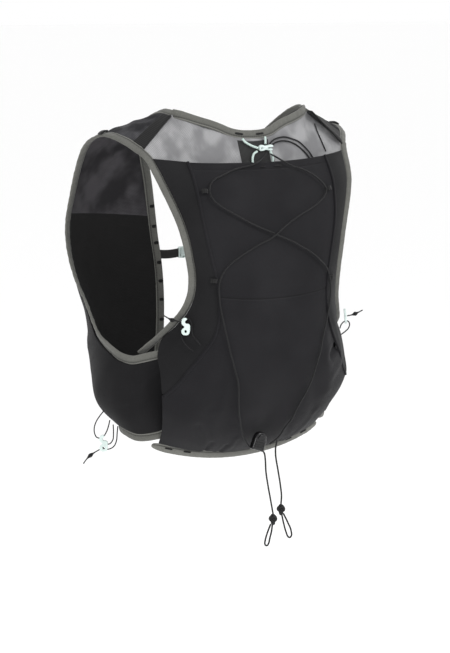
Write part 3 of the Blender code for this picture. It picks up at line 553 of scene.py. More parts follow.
# %% Points that the cords run through, in metres
LACING_LEFT = [
    (0.0198, 0.0610, -0.3630),
    (0.0271, 0.0625, -0.3535),
    (0.0334, 0.0655, -0.3431),
    (0.0385, 0.0700, -0.3315),
    (0.0449, 0.0765, -0.3183),
    (0.0497, 0.0825, -0.3029),
    (0.0527, 0.0866, -0.2905),
    (0.0559, 0.0894, -0.2782),
    (0.0597, 0.0907, -0.2685),
    (0.0633, 0.0907, -0.2565),
    (0.0662, 0.0901, -0.2461),
    (0.0704, 0.0883, -0.2256),
    (0.0725, 0.0868, -0.2144),
    (0.0751, 0.0850, -0.1998),
    (0.0771, 0.0838, -0.1830),
    (0.0772, 0.0836, -0.1696),
    (0.0744, 0.0843, -0.1597),
    (0.0683, 0.0855, -0.1510),
    (0.0607, 0.0865, -0.1447),
    (0.0503, 0.0873, -0.1387),
    (0.0369, 0.0877, -0.1322),
    (0.0231, 0.0880, -0.1262),
    (0.0118, 0.0892, -0.1219),
    (0.0025, 0.0897, -0.1165),
    (-0.0056, 0.0883, -0.1116),
    (-0.0205, 0.0852, -0.1041),
    (-0.0355, 0.0836, -0.0971),
    (-0.0509, 0.0820, -0.0911),
    (-0.0641, 0.0797, -0.0846),
    (-0.0730, 0.0772, -0.0790),
    (-0.0787, 0.0746, -0.0718),
    (-0.0752, 0.0729, -0.0649),
    (-0.0703, 0.0711, -0.0598),
    (-0.0613, 0.0677, -0.0528),
    (-0.0492, 0.0646, -0.0471),
    (-0.0358, 0.0620, -0.0426),
    (-0.0320, 0.0614, -0.0405),
    (-0.0283, 0.0603, -0.0384),
    (-0.0260, 0.0580, -0.0366),
    (-0.0230, 0.0543, -0.0339),
    (-0.0196, 0.0514, -0.0316),
    (-0.0171, 0.0500, -0.0301),
]
LACING_RIGHT = [
    (-0.0093, 0.0610, -0.3624),
    (-0.0125, 0.0605, -0.3614),
    (-0.0193, 0.0590, -0.3589),
    (-0.0257, 0.0585, -0.3545),
    (-0.0306, 0.0615, -0.3452),
    (-0.0349, 0.0670, -0.3367),
    (-0.0366, 0.0743, -0.3239),
    (-0.0399, 0.0794, -0.3128),
    (-0.0433, 0.0826, -0.3045),
    (-0.0474, 0.0866, -0.2925),
    (-0.0507, 0.0899, -0.2794),
    (-0.0535, 0.0918, -0.2675),
    (-0.0578, 0.0918, -0.2562),
    (-0.0609, 0.0915, -0.2425),
    (-0.0656, 0.0901, -0.2290),
    (-0.0715, 0.0872, -0.2148),
    (-0.0770, 0.0842, -0.1995),
    (-0.0790, 0.0832, -0.1870),
    (-0.0770, 0.0838, -0.1728),
    (-0.0722, 0.0849, -0.1612),
    (-0.0624, 0.0865, -0.1519),
    (-0.0471, 0.0875, -0.1405),
    (-0.0326, 0.0878, -0.1327),
    (-0.0187, 0.0876, -0.1255),
    (-0.0050, 0.0871, -0.1202),
    (0.0085, 0.0867, -0.1143),
    (0.0218, 0.0859, -0.1089),
    (0.0348, 0.0848, -0.1032),
    (0.0474, 0.0833, -0.0964),
    (0.0596, 0.0812, -0.0897),
    (0.0713, 0.0785, -0.0826),
    (0.0795, 0.0757, -0.0755),
    (0.0822, 0.0727, -0.0680),
    (0.0805, 0.0707, -0.0606),
    (0.0748, 0.0682, -0.0549),
    (0.0629, 0.0665, -0.0506),
    (0.0474, 0.0637, -0.0457),
    (0.0322, 0.0616, -0.0426),
    (0.0182, 0.0614, -0.0407),
    (0.0124, 0.0611, -0.0395),
    (0.0081, 0.0598, -0.0378),
    (0.0024, 0.0566, -0.0363),
    (-0.0025, 0.0536, -0.0344),
    (-0.0080, 0.0510, -0.0314),
    (-0.0115, 0.0498, -0.0285),
]
MOUTH_CORD_OUTER = [
    (-0.0222, 0.0415, -0.0189),
    (-0.0283, 0.0396, -0.0153),
    (-0.0377, 0.0382, -0.0128),
    (-0.0465, 0.0377, -0.0125),
    (-0.0549, 0.0379, -0.0145),
    (-0.0661, 0.0385, -0.0188),
    (-0.0722, 0.0400, -0.0241),
    (-0.0789, 0.0415, -0.0313),
    (-0.0836, 0.0442, -0.0404),
    (-0.0848, 0.0465, -0.0450),
]
MOUTH_CORD_INNER = [
    (-0.0243, 0.0420, -0.0205),
    (-0.0312, 0.0406, -0.0180),
    (-0.0400, 0.0396, -0.0166),
    (-0.0500, 0.0393, -0.0176),
    (-0.0590, 0.0397, -0.0208),
    (-0.0665, 0.0405, -0.0257),
    (-0.0722, 0.0425, -0.0313),
    (-0.0766, 0.0450, -0.0380),
    (-0.0784, 0.0475, -0.0430),
]
TAIL_LEFT = [
    (0.0012, 0.0612, -0.3692),
    (-0.0028, 0.0592, -0.3735),
    (-0.0048, 0.0580, -0.3803),
    (-0.0058, 0.0580, -0.3951),
    (-0.0090, 0.0580, -0.4131),
    (-0.0127, 0.0580, -0.4302),
    (-0.0161, 0.0580, -0.4463),
]
TAIL_LEFT_LOOP = [
    (-0.0128, 0.0580, -0.4581),
    (-0.0082, 0.0580, -0.4675),
    (-0.0050, 0.0580, -0.4765),
    (-0.0044, 0.0580, -0.4803),
    (-0.0057, 0.0580, -0.4826),
    (-0.0081, 0.0580, -0.4828),
    (-0.0101, 0.0580, -0.4803),
    (-0.0114, 0.0580, -0.4753),
    (-0.0138, 0.0580, -0.4676),
    (-0.0153, 0.0580, -0.4586),
]
TAIL_RIGHT = [
    (-0.0231, 0.0571, -0.3585),
    (-0.0246, 0.0528, -0.3645),
    (-0.0256, 0.0496, -0.3715),
    (-0.0269, 0.0480, -0.3799),
    (-0.0303, 0.0480, -0.3981),
    (-0.0341, 0.0480, -0.4181),
    (-0.0355, 0.0480, -0.4297),
    (-0.0348, 0.0480, -0.4392),
]
TAIL_RIGHT_LOOP = [
    (-0.0358, 0.0480, -0.4513),
    (-0.0388, 0.0480, -0.4630),
    (-0.0426, 0.0480, -0.4745),
    (-0.0451, 0.0480, -0.4796),
    (-0.0476, 0.0480, -0.4812),
    (-0.0500, 0.0480, -0.4795),
    (-0.0497, 0.0480, -0.4734),
    (-0.0450, 0.0480, -0.4630),
    (-0.0384, 0.0480, -0.4510),
]
NECK_CORDS = {
    "upper_left": [(0.0167, 0.0425, -0.0119), (0.0145, 0.0428, -0.0146), (0.0072, 0.0442, -0.0193),
                   (-0.0024, 0.0460, -0.0230)],
    "upper_right": [(-0.0151, 0.0420, -0.0108), (-0.0150, 0.0428, -0.0145), (-0.0138, 0.0443, -0.0189)],
    "lower_left": [(-0.0013, 0.0456, -0.0268), (0.0043, 0.0472, -0.0294), (0.0073, 0.0490, -0.0348),
                   (0.0081, 0.0508, -0.0397)],
    "lower_right": [(-0.0196, 0.0458, -0.0270), (-0.0218, 0.0477, -0.0338), (-0.0202, 0.0505, -0.0400)],
}
SHOULDER_CORD = [
    (-0.1008, 0.0217, 0.0004),
    (-0.1020, 0.0259, -0.0091),
    (-0.1038, 0.0300, -0.0177),
    (-0.1052, 0.0337, -0.0251),
    (-0.1058, 0.0372, -0.0311),
]
REAR_LOOP_LEFT = [
    (0.0955, 0.0743, -0.2364),
    (0.0986, 0.0718, -0.2317),
    (0.1016, 0.0683, -0.2264),
    (0.1026, 0.0668, -0.2188),
    (0.1026, 0.0654, -0.2108),
    (0.1043, 0.0630, -0.2073),
    (0.1068, 0.0603, -0.2076),
    (0.1089, 0.0580, -0.2109),
    (0.1100, 0.0568, -0.2171),
    (0.1107, 0.0576, -0.2235),
    (0.1103, 0.0602, -0.2310),
    (0.1068, 0.0650, -0.2384),
    (0.1024, 0.0698, -0.2430),
]
REAR_TAIL_LEFT = [
    (0.1124, 0.0600, -0.2111),
    (0.1173, 0.0573, -0.2092),
    (0.1212, 0.0551, -0.2083),
    (0.1250, 0.0528, -0.2060),
    (0.1286, 0.0503, -0.2033),
]
REAR_LOOP_RIGHT = [
    (-0.1103, 0.0604, -0.2369),
    (-0.1120, 0.0602, -0.2330),
    (-0.1152, 0.0617, -0.2292),
    (-0.1177, 0.0632, -0.2280),
    (-0.1197, 0.0648, -0.2292),
    (-0.1203, 0.0659, -0.2326),
    (-0.1189, 0.0657, -0.2364),
    (-0.1151, 0.0638, -0.2407),
    (-0.1110, 0.0616, -0.2441),
]
REAR_TAIL_RIGHT = [
    (-0.1177, 0.0642, -0.2223),
    (-0.1242, 0.0683, -0.2205),
    (-0.1265, 0.0698, -0.2194),
    (-0.1298, 0.0717, -0.2176),
    (-0.1333, 0.0738, -0.2155),
]
FRONT_LOOP = [
    (0.1508, -0.0438, -0.3236),
    (0.1544, -0.0468, -0.3297),
    (0.1579, -0.0487, -0.3363),
    (0.1597, -0.0493, -0.3430),
    (0.1597, -0.0486, -0.3487),
    (0.1576, -0.0474, -0.3534),
    (0.1540, -0.0460, -0.3546),
    (0.1504, -0.0446, -0.3530),
    (0.1483, -0.0426, -0.3488),
    (0.1462, -0.0394, -0.3391),
    (0.1454, -0.0383, -0.3334),
]
FRONT_CORD = [
    (0.1430, -0.0350, -0.3382),
    (0.1431, -0.0343, -0.3479),
    (0.1439, -0.0350, -0.3565),
    (0.1460, -0.0380, -0.3608),
    (0.1492, -0.0420, -0.3620),
    (0.1520, -0.0435, -0.3645),
    (0.1498, -0.0420, -0.3674),
    (0.1461, -0.0380, -0.3667),
    (0.1428, -0.0330, -0.3625),
    (0.1411, -0.0313, -0.3568),
    (0.1401, -0.0312, -0.3483),
    (0.1410, -0.0283, -0.3396),
]
FRONT_TAIL = [
    (0.1563, -0.0434, -0.3672),
    (0.1613, -0.0455, -0.3701),
    (0.1669, -0.0475, -0.3740),
    (0.1713, -0.0491, -0.3786),
    (0.1744, -0.0499, -0.3828),
]
# Where the hooks hang on their cords, in metres, the way that each one runs and the way it faces
REAR_HOOKS = {
    "left": ((0.1085, 0.0636, -0.2158), (0.0, 0.0, 1.0), (0.77, 0.62, 0.1)),
    "right": ((-0.1154, 0.0640, -0.2224), (-0.45, -0.64, 0.62), (-0.8, 0.6, 0.1)),
}
REAR_CORDS = {
    "left": (REAR_LOOP_LEFT, REAR_TAIL_LEFT),
    "right": (REAR_LOOP_RIGHT, REAR_TAIL_RIGHT),
}
FRONT_HOOK = ((0.1527, -0.0405, -0.3598), (0.0, 0.0, 1.0), (0.6, 0.8, 0.0))
MOST_STEPS = 78


def smooth_line(points, spacing):
    """Evenly spaced points on a smooth curve through the points."""
    points = np.array(points)
    fine = through(chords(points), points, np.linspace(0, 1, 40 * len(points)))
    steps = np.clip(int(chord_length(fine) / spacing), 4, MOST_STEPS)
    places = np.linspace(0, 1, steps + 1)
    return np.stack([np.interp(places, chords(fine), column) for column in fine.T], 1)


# %% [markdown]
# ## Meshes worked out as whole arrays
# Cloth is a grid of points with a wall added by a Solidify modifier. Bindings, cords and moulded
# parts are lofts: one closed ring carried along a path, with a cap at both ends. Both keep a map in
# metres of cloth, because a weave has to keep its size wherever the cloth is wide or narrow.

# %% Cloth coordinates of a grid
def cloth_metres(grid):
    """Distance across from the middle column and distance down, each summed over the grid's steps."""
    across = np.zeros(grid.shape[:2])
    across[:, 1:] = np.cumsum(np.linalg.norm(np.diff(grid, axis=1), axis=2), axis=1)
    across -= across[:, [grid.shape[1] // 2]]
    down = np.zeros(grid.shape[:2])
    down[1:] = np.cumsum(np.linalg.norm(np.diff(grid, axis=0), axis=2), axis=0)
    return np.stack([across, down], -1)


# %% Quads of a grid
def grid_faces(rows, columns):
    """Four corner numbers for each quad of a grid that is stored row by row, all at once."""
    first = (np.arange(rows - 1)[:, None] * columns + np.arange(columns - 1)).ravel()
    return np.stack([first, first + 1, first + columns + 1, first + columns], 1)


# %% A finished object from points, faces and corner coordinates
made = {}


def placed(name, mesh, nodes):
    """Object for a mesh on the vest's one body and the solids that it stands for."""
    thing = bpy.data.objects.new(name, mesh)
    bpy.context.scene.collection.objects.link(thing)
    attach(thing, "root")
    if nodes:
        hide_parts(*nodes)
    made[name] = thing
    return thing


def finished(name, points, faces, corner_map, look, nodes=()):
    """Object at the origin, smooth, with its map, its finish and the solids that it stands for."""
    mesh = bpy.data.meshes.new(name)
    mesh.from_pydata(np.asarray(points).reshape(-1, 3).tolist(), [], faces)
    layer = mesh.uv_layers.new(name="cloth")
    layer.data.foreach_set("uv", np.asarray(corner_map, np.float32).ravel())
    mesh.shade_smooth()
    mesh.set_sharp_from_angle(angle=1.0)
    mesh.materials.append(look)
    return placed(name, mesh, nodes)


# %% Cloth panels
def panel(name, grid, look, nodes, side=-1, wall=cloth, lift=0.0, folds=None, start=0.0):
    """Grid of cloth pushed along its normals by its folds, then given a wall to both sides of it."""
    rows, columns = grid.shape[:2]
    metres = cloth_metres(grid) - [0, start]
    height = lift * side if folds is None else lift * side + folds(metres[..., 0], metres[..., 1])
    points = grid + normals(grid) * np.asarray(height)[..., None]
    faces = grid_faces(rows, columns)
    thing = finished(name, points, faces.tolist(), metres.reshape(-1, 2)[faces.ravel()], look, nodes)
    walls = thing.modifiers.new("wall", "SOLIDIFY")
    walls.thickness = wall
    walls.offset = 0.0
    area = np.linalg.norm(np.cross(np.diff(grid, axis=1)[:-1], np.diff(grid, axis=0)[:, :-1]), axis=2).sum()
    wide, long = np.ptp(metres[..., 0]), np.ptp(metres[..., 1])
    print(f"{name}: {wide * 1000:.0f} by {long * 1000:.0f} mm, {area * 1e4:.0f} square cm")
    return thing


def both_panels(name, grid, look, side, fold, start=0.0):
    """A panel for the wearer's left and its mirror image for the right."""
    for word, one in (("left", grid), ("right", mirrored(grid))):
        panel(f"{name}_{word}_cloth", one, look, [f"{name}_{word}"], side=side, folds=fold, start=start)


# %% Lofts
def ring_quads(count, sides):
    """Ring and side number of each quad between rings of points, and its four corner numbers."""
    ring, side = np.meshgrid(np.arange(count - 1), np.arange(sides), indexing="ij")
    turned = (side + 1) % sides
    quads = np.stack([ring * sides + side, ring * sides + turned,
                      (ring + 1) * sides + turned, (ring + 1) * sides + side], -1)
    return ring, side, quads.reshape(-1, 4)


def caps(count, sides):
    """The two faces that close the first and the last ring."""
    return [list(range(sides))[::-1], list(range((count - 1) * sides, count * sides))]


def loft(name, rings, along, around, look, nodes=()):
    """Quads from ring to ring. Along gives each ring's place and around each corner's, in metres."""
    count, sides = rings.shape[:2]
    ring, side, quads = ring_quads(count, sides)
    corners = np.stack([np.stack([along[ring], around[side]], -1),
                        np.stack([along[ring], around[side + 1]], -1),
                        np.stack([along[ring + 1], around[side + 1]], -1),
                        np.stack([along[ring + 1], around[side]], -1)], 2).reshape(-1, 2)
    flat = np.zeros((2 * sides, 2)) + [along[0], around[0]]
    return finished(name, rings, quads.tolist() + caps(count, sides), np.concatenate([corners, flat]),
                    look, nodes)


# %% Bindings and straps: a profile carried along a path
def carried(path, inward, profile):
    """Rings of a profile. Its first number goes across the path, towards inward, its second out."""
    forward = unit(np.gradient(path, axis=0))
    across = unit(inward - forward * (inward * forward).sum(1, keepdims=True))
    out = np.cross(across, forward)
    profile = np.asarray(profile)[None] if np.ndim(profile) == 2 else profile
    return path[:, None] + across[:, None] * profile[..., :1] + out[:, None] * profile[..., 1:]


# %% Round cords: a circle carried along a path without twisting
def tube_rings(path, radius, sides=12):
    """Circles of points around a path. The side direction is handed on from point to point."""
    forward = unit(np.gradient(path, axis=0))
    side = np.empty_like(path)
    side[0] = unit(np.cross(forward[0], [0.31, 0.27, 0.91]))
    for here in range(1, len(path)):
        side[here] = unit(side[here - 1] - forward[here] * (side[here - 1] @ forward[here]))
    up = np.cross(forward, side)
    angle = -np.arange(sides) / sides * 2 * np.pi
    spoke = side[:, None] * np.cos(angle)[:, None] + up[:, None] * np.sin(angle)[:, None]
    return path[:, None] + spoke * (np.zeros(len(path)) + radius)[:, None, None]


def braided(name, points, radius, look, nodes=None, swell=None, spacing=0.0012, sides=12):
    """Cord through points: a smooth line, then circles on it. Swell is its radius by share."""
    line = smooth_line(points, spacing)
    metres = metres_along(line)
    sizes = radius if swell is None else radius * swell(chords(line), metres)
    around = np.arange(sides + 1) / sides
    thing = loft(name, tube_rings(line, sizes, sides), metres, around, look, nodes or [name])
    return thing, line


# %% [markdown]
# ## Finishes
# Each finish is a small node tree. Image textures would stretch over these curved panels and their
# threads would blur close up, so every weave is arithmetic on the cloth's own metres: a sine for a
# rib, a smooth step for a row of stitches, noise for the uneven dye. Nodes are tedious to write one
# by one, so a value in a tree gets the usual signs of arithmetic.

# %% Values in a node tree
class Wire:
    """A value in a node tree. Arithmetic on it adds Math nodes to the same tree."""

    def __init__(self, tree, socket):
        self.tree, self.socket = tree, socket

    def node(self, kind, settings, sockets, output=0):
        """Any other node of this tree: its settings first, then what goes into its sockets."""
        made_node = self.tree.nodes.new("ShaderNode" + kind)
        for key, value in settings.items():
            setattr(made_node, key, value)
        for key, value in sockets.items():
            if isinstance(value, Wire):
                self.tree.links.new(value.socket, made_node.inputs[key])
            else:
                made_node.inputs[key].default_value = value
        return Wire(self.tree, made_node.outputs[output])

    def math(self, operation, *others):
        """A Math node on this value and the others."""
        return self.node("Math", {"operation": operation}, dict(enumerate((self, *others))))

    def __add__(self, other):
        """Sum."""
        return self.math("ADD", other)

    __radd__ = __add__

    def __sub__(self, other):
        """Difference."""
        return self.math("SUBTRACT", other)

    def __rsub__(self, other):
        """Difference the other way round."""
        return self.math("MULTIPLY", -1.0) + other

    def __mul__(self, other):
        """Product."""
        return self.math("MULTIPLY", other)

    __rmul__ = __mul__

    def __truediv__(self, other):
        """Quotient."""
        return self.math("DIVIDE", other)

    def wave(self, length):
        """Sine of that wave length, from -1 to 1."""
        return (self * (2 * np.pi / length)).math("SINE")

    def repeat(self, length):
        """Place within each stretch of that length, from 0 to 1."""
        return (self / length).math("FRACT")

    def ramp(self, low, high, start=0.0, end=1.0):
        """Smooth step from start at low to end at high."""
        return self.node("MapRange", {"interpolation_type": "SMOOTHSTEP"},
                         {0: self, 1: low, 2: high, 3: start, 4: end})

    def near(self, centre, reach):
        """One at the centre, falling smoothly to nothing at that reach."""
        return (self - centre).math("ABSOLUTE").ramp(0.0, reach, 1.0, 0.0)

    def mix(self, first, second):
        """Colour between two colours, with this value as the share of the second."""
        colours = [c if isinstance(c, Wire) else (*c, 1.0) for c in (first, second)]
        return self.node("Mix", {"data_type": "RGBA"}, {0: self, 6: colours[0], 7: colours[1]}, output=2)

    def noise(self, size, detail=2.0, stretch=(1.0, 1.0, 1.0)):
        """Cloudy value around a half. Size is that of one cloud, in metres."""
        scale = tuple(s / size for s in stretch)
        place = self.node("Mapping", {}, {0: self, 3: scale})
        return self.node("TexNoise", {}, {"Vector": place, "Scale": 1.0, "Detail": detail})


# %% The start and the end of every finish
def begin(name, **constants):
    """New finish: its constants go straight onto the shader's sockets. Returns its coordinates."""
    look = bpy.data.materials.new("look_" + name)
    look.use_nodes = True
    tree = look.node_tree
    shader = tree.nodes["Principled BSDF"]
    for key, value in constants.items():
        shader.inputs[key.replace("_", " ")].default_value = value
    flat = tree.nodes.new("ShaderNodeUVMap")
    flat.uv_map = "cloth"
    cloth_map = Wire(tree, flat.outputs[0])
    parts = cloth_map.node("SeparateXYZ", {}, {0: cloth_map})
    along, across = parts, Wire(tree, parts.socket.node.outputs[1])
    place = Wire(tree, tree.nodes.new("ShaderNodeTexCoord").outputs["Object"])
    return look, shader, along, across, place


def complete(look, shader, colour, height, strength, distance, roughness=None, alpha=None):
    """Joins colour, relief and roughness to the shader."""
    links = look.node_tree.links
    links.new(colour.socket, shader.inputs["Base Color"])
    relief = height.node("Bump", {}, {"Height": height, "Strength": strength, "Distance": distance})
    links.new(relief.socket, shader.inputs["Normal"])
    if roughness is not None:
        links.new(roughness.socket, shader.inputs["Roughness"])
    if alpha is not None:
        links.new(alpha.socket, shader.inputs["Alpha"])
    return look


# %% [markdown]
# ### Binding
# The edges are taped with a soft grey knit, folded over the cloth and sewn down near its inner edge.
# A knit shows fine ribs across the tape and little loops along it; the row of stitches pulls a groove.

# %% Grey binding knit
# Where the row of stitches and the inner lip lie, from the tape's middle, and a stitch's length
STITCH_AT, LIP_AT, STITCH_LONG = 0.0027, 0.0042, 0.0030


def binding_look(name, light, dark):
    """Knit ribs from a sine each way, with a sewn groove at a set distance from the tape's middle. Painted
    shade deepens towards the groove, and a painted highlight runs along the inner lip.
    """
    look, shader, along, across, place = begin(name, **{"Specular IOR Level": 0.2, "Sheen Weight": 0.15})
    ribs = along.wave(0.0012) * 0.5 + across.wave(0.0010) * 0.5
    groove = (across - STITCH_AT).math("ABSOLUTE").ramp(0.0004, 0.0010, 1.0, 0.0)
    thread = groove * along.repeat(STITCH_LONG).near(0.5, 0.42).ramp(0.05, 0.3)
    fibres = place.noise(0.0012, 3.0)
    dye = place.noise(0.035)
    tone = ribs * 0.16 + fibres * 0.5 + dye * 0.35
    colour = tone.ramp(0.15, 0.85).mix(dark, light)
    # Painted shade: the tape darkens from its middle towards the row of stitches
    colour = across.ramp(-0.0005, STITCH_AT, 0.0, 0.45).mix(colour, dark)
    colour = (groove * 0.85).mix(colour, (0.036, 0.036, 0.034))
    colour = (thread * 0.35).mix(colour, (0.10, 0.10, 0.09))
    # Painted highlight: a light line along the tape's inner lip
    colour = across.near(LIP_AT, 0.0009).mix(colour, light)
    height = ribs * 0.35 + fibres * 0.5 - groove * 1.6 + thread * 1.1
    return complete(look, shader, colour, height, 0.6, 0.0003, tone.ramp(0.0, 1.0, 0.95, 0.8))


binding_knit = binding_look("binding_knit", (0.155, 0.155, 0.141), (0.076, 0.076, 0.069))
# The hem's tape is the same grey knit, painted lighter as if lit from below
hem_knit = binding_look("hem_knit", (0.205, 0.205, 0.187), (0.112, 0.112, 0.102))
print("finish:", binding_knit.name)

# %% [markdown]
# ### Mesh
# The yoke and the shoulders are an open knit. Its holes are about a millimetre wide, so from a step
# away they only grey the cloth, and what the eye sees are the soft clouds where two layers touch.
# Real holes would need millions of faces, so the holes are a pattern in colour and relief.

# %% Open mesh
HOLE_PITCH = 0.0017
LINE_HEIGHT, LINE_SLOPE = -0.1140, 0.0905


def split(place):
    """Distance to the side and height of a place, both in metres."""
    parts = place.node("SeparateXYZ", {}, {0: place})
    return parts, Wire(parts.tree, parts.socket.node.outputs[2])


def mesh_look(name, light, hole, cloud_dark, cloud_size=0.030, below=None):
    """Rows of round holes, every second row shifted half a hole, under broad clouds of tone.
    Below the line where a second fabric is sewn on behind, the mesh takes that fabric's tone."""
    look, shader, along, across, place = begin(name, **{"Specular IOR Level": 0.08, "Sheen Weight": 0.02})
    shifted = (along / HOLE_PITCH + (across / HOLE_PITCH).math("FLOOR") * 0.5).math("FRACT") - 0.5
    row = across.repeat(HOLE_PITCH) - 0.5
    away = (shifted * shifted + row * row).math("SQRT")
    holes = away.ramp(0.22, 0.42, 1.0, 0.0)
    clouds = place.noise(cloud_size, 2.5, (1.0, 1.0, 0.7)).ramp(0.36, 0.66)
    colour = clouds.mix(cloud_dark, light)
    if below is not None:
        aside, height_up = split(place)
        drop = aside.math("ABSOLUTE") * LINE_SLOPE + LINE_HEIGHT - height_up
        colour = drop.ramp(-0.0006, 0.0006).mix(colour, below)
    colour = (holes * 0.75).mix(colour, hole)
    height = holes * -1.0 + place.noise(0.0008) * 0.3
    if below is not None:
        height = height + drop.near(0.0, 0.0025) * 2.5
    return complete(look, shader, colour, height, 0.5, 0.0004, clouds.ramp(0.0, 1.0, 0.92, 0.8))


yoke_mesh = mesh_look("yoke_mesh", (0.330, 0.330, 0.335), (0.155, 0.155, 0.160), (0.180, 0.180, 0.185), 0.024)
strap_mesh = mesh_look("strap_mesh", (0.075, 0.074, 0.080), (0.016, 0.016, 0.017), (0.020, 0.020, 0.022),
                       0.020)
# The same cloth as the strap mesh, painted much darker as shade, for the right shoulder
deep_mesh = mesh_look("deep_mesh", (0.024, 0.024, 0.026), (0.008, 0.008, 0.008), (0.010, 0.010, 0.011), 0.020)
front_mesh = mesh_look("front_mesh", (0.078, 0.074, 0.080), (0.020, 0.019, 0.021), (0.024, 0.023, 0.025),
                       0.034, (0.0135, 0.0135, 0.0130))

# %% [markdown]
# ### Stretch fabrics
# The back pocket and the wings are a thin, tight, near-black stretch weave. On such a dark cloth the
# threads are seen only by the light that they catch, so relief and a little sheen do more than colour.

# %% Near-black stretch fabric
def fabric_look(name, light, dark, thread=0.0008, seams=(), rough=(0.86, 0.66)):
    """Plain weave: two sines multiplied, and double rows of stitches at the given distances down."""
    look, shader, along, across, place = begin(name, **{"Specular IOR Level": 0.15, "Sheen Weight": 0.045,
                                                        "Sheen Roughness": 0.4})
    weave = along.wave(thread) * across.wave(thread)
    uneven = place.noise(0.0009, 2.0)
    dye = place.noise(0.060, 2.0)
    tone = weave * 0.10 + uneven * 0.4 + dye * 0.55
    colour = tone.ramp(0.25, 0.75).mix(dark, light)
    height = weave * 0.4 + uneven * 0.35
    for at, reach in seams:
        line = across.near(at, reach)
        threads = across.near(at + 0.0018, 0.0004) * along.repeat(0.0028).near(0.5, 0.4).ramp(0.05, 0.3)
        colour = (line * 0.7).mix(colour, (0.004, 0.004, 0.004))
        colour = (threads * 0.5).mix(colour, (0.035, 0.035, 0.036))
        height = height - line * 3.0 + threads * 1.2
    return complete(look, shader, colour, height, 0.45, 0.00025, tone.ramp(0.2, 0.8, *rough))


MOUTH_STITCH, MIDDLE_SEAM = 0.0085, 0.1570
pocket_fabric = fabric_look("pocket_fabric", (0.0120, 0.0116, 0.0134), (0.0076, 0.0073, 0.0086),
                            seams=[(MOUTH_STITCH, 0.0006), (MIDDLE_SEAM, 0.0011)])
side_fabric = fabric_look("side_fabric", (0.0100, 0.0098, 0.0108), (0.0062, 0.0061, 0.0067), 0.0010)
front_fabric = fabric_look("front_fabric", (0.0098, 0.0094, 0.0105), (0.0062, 0.0060, 0.0067), 0.0010,
                           seams=[(MOUTH_STITCH, 0.0006)])

# %% [markdown]
# ### Webbing, cord and thread
# Webbing is woven with a heavy rib across it. A cord's cover is a braid: two families of threads wind
# round it in opposite ways, so its height is the larger of two sines that run against each other.

# %% Webbing
def webbing_look(name, light, dark, rib=0.0016):
    """Ribs across the band, each split into threads, darker in between."""
    look, shader, along, across, place = begin(name, **{"Specular IOR Level": 0.25, "Sheen Weight": 0.1})
    ribs = along.wave(rib) * 0.5 + 0.5
    threads = across.wave(0.0007) * 0.5 + 0.5
    tone = ribs * 0.6 + threads * 0.2 + place.noise(0.001) * 0.3
    colour = tone.ramp(0.1, 1.0).mix(dark, light)
    height = ribs * 0.7 + threads * 0.3
    return complete(look, shader, colour, height, 0.7, 0.0003, tone.ramp(0.0, 1.0, 0.9, 0.7))


webbing = webbing_look("webbing", (0.026, 0.026, 0.026), (0.010, 0.010, 0.010))
band_webbing = webbing_look("band_webbing", (0.0090, 0.0088, 0.0090), (0.0040, 0.0040, 0.0040), 0.0022)

# %% Braided cord
def cord_look(name, light, dark, rough=0.7):
    """Braid: the larger of two sines that wind round the cord in opposite ways."""
    look, shader, along, around, place = begin(name, **{"Specular IOR Level": 0.3})
    one = (along / 0.0022 + around * 4).wave(1.0)
    other = (along / 0.0022 - around * 4).wave(1.0)
    braid = one.math("MAXIMUM", other)
    colour = braid.ramp(-0.2, 1.0).mix(dark, light)
    return complete(look, shader, colour, braid, 0.8, 0.0003, braid.ramp(-1.0, 1.0, 0.95, rough))


black_cord = cord_look("cord", (0.0110, 0.0110, 0.0120), (0.0025, 0.0025, 0.0025), 0.5)
mint_cord = cord_look("mint_cord", (0.64, 0.75, 0.71), (0.40, 0.52, 0.48), 0.5)
thread_black = cord_look("thread", (0.020, 0.020, 0.020), (0.006, 0.006, 0.006))

# %% [markdown]
# ### Moulded plastic
# Hooks and buckle are a pale green, slightly milky plastic with a fine spark texture from the mould;
# the cord lock is glossy black. Both get faint flow marks, so that no part of them is one flat tone.

# %% Moulded plastic
def plastic_look(name, light, dark, rough, **constants):
    """Broad flow marks in the tone and a fine grain in the relief."""
    look, shader, along, across, place = begin(name, **constants)
    flow = place.noise(0.006, 1.0, (1.0, 1.0, 0.3))
    grain = place.noise(0.0004, 2.0)
    colour = flow.ramp(0.3, 0.7).mix(dark, light)
    return complete(look, shader, colour, grain, 0.12, 0.0001, flow.ramp(0.2, 0.8, rough + 0.08, rough))


mint_plastic = plastic_look("mint_plastic", (0.64, 0.73, 0.71), (0.55, 0.65, 0.62), 0.38,
                            **{"Specular IOR Level": 0.5})
black_plastic = plastic_look("black_plastic", (0.0075, 0.0075, 0.0080), (0.0045, 0.0045, 0.0050), 0.20,
                             **{"Specular IOR Level": 0.32, "Coat Weight": 0.12, "Coat Roughness": 0.12})
print("finishes:", len([m for m in bpy.data.materials if m.name.startswith("look_")]))

# %% [markdown]
# ## Cords
# Cords come before the cloth, because how far they hang decides how large the whole vest is. A tail
# and its loop hang straight from the cord lock; the thin cords behind the arms and below the fronts
# leave the cloth, run through a pale hook and end in a knot. A simulated rope would settle
# differently each time, so every cord follows fixed points. They were picked by eye in the photograph,
# and a separate calculation placed them on the model's surface or at a chosen depth.

# %% Knots
def barrel_knot(share, metres):
    """Radius of a cord with a barrel knot half way: a swelling with the ridges of its turns."""
    swell = np.exp(-(((share - 0.5) / 0.13) ** 2))
    return 1 + 3.0 * swell * (0.85 + 0.15 * np.cos(metres * 2 * np.pi / 0.0013))


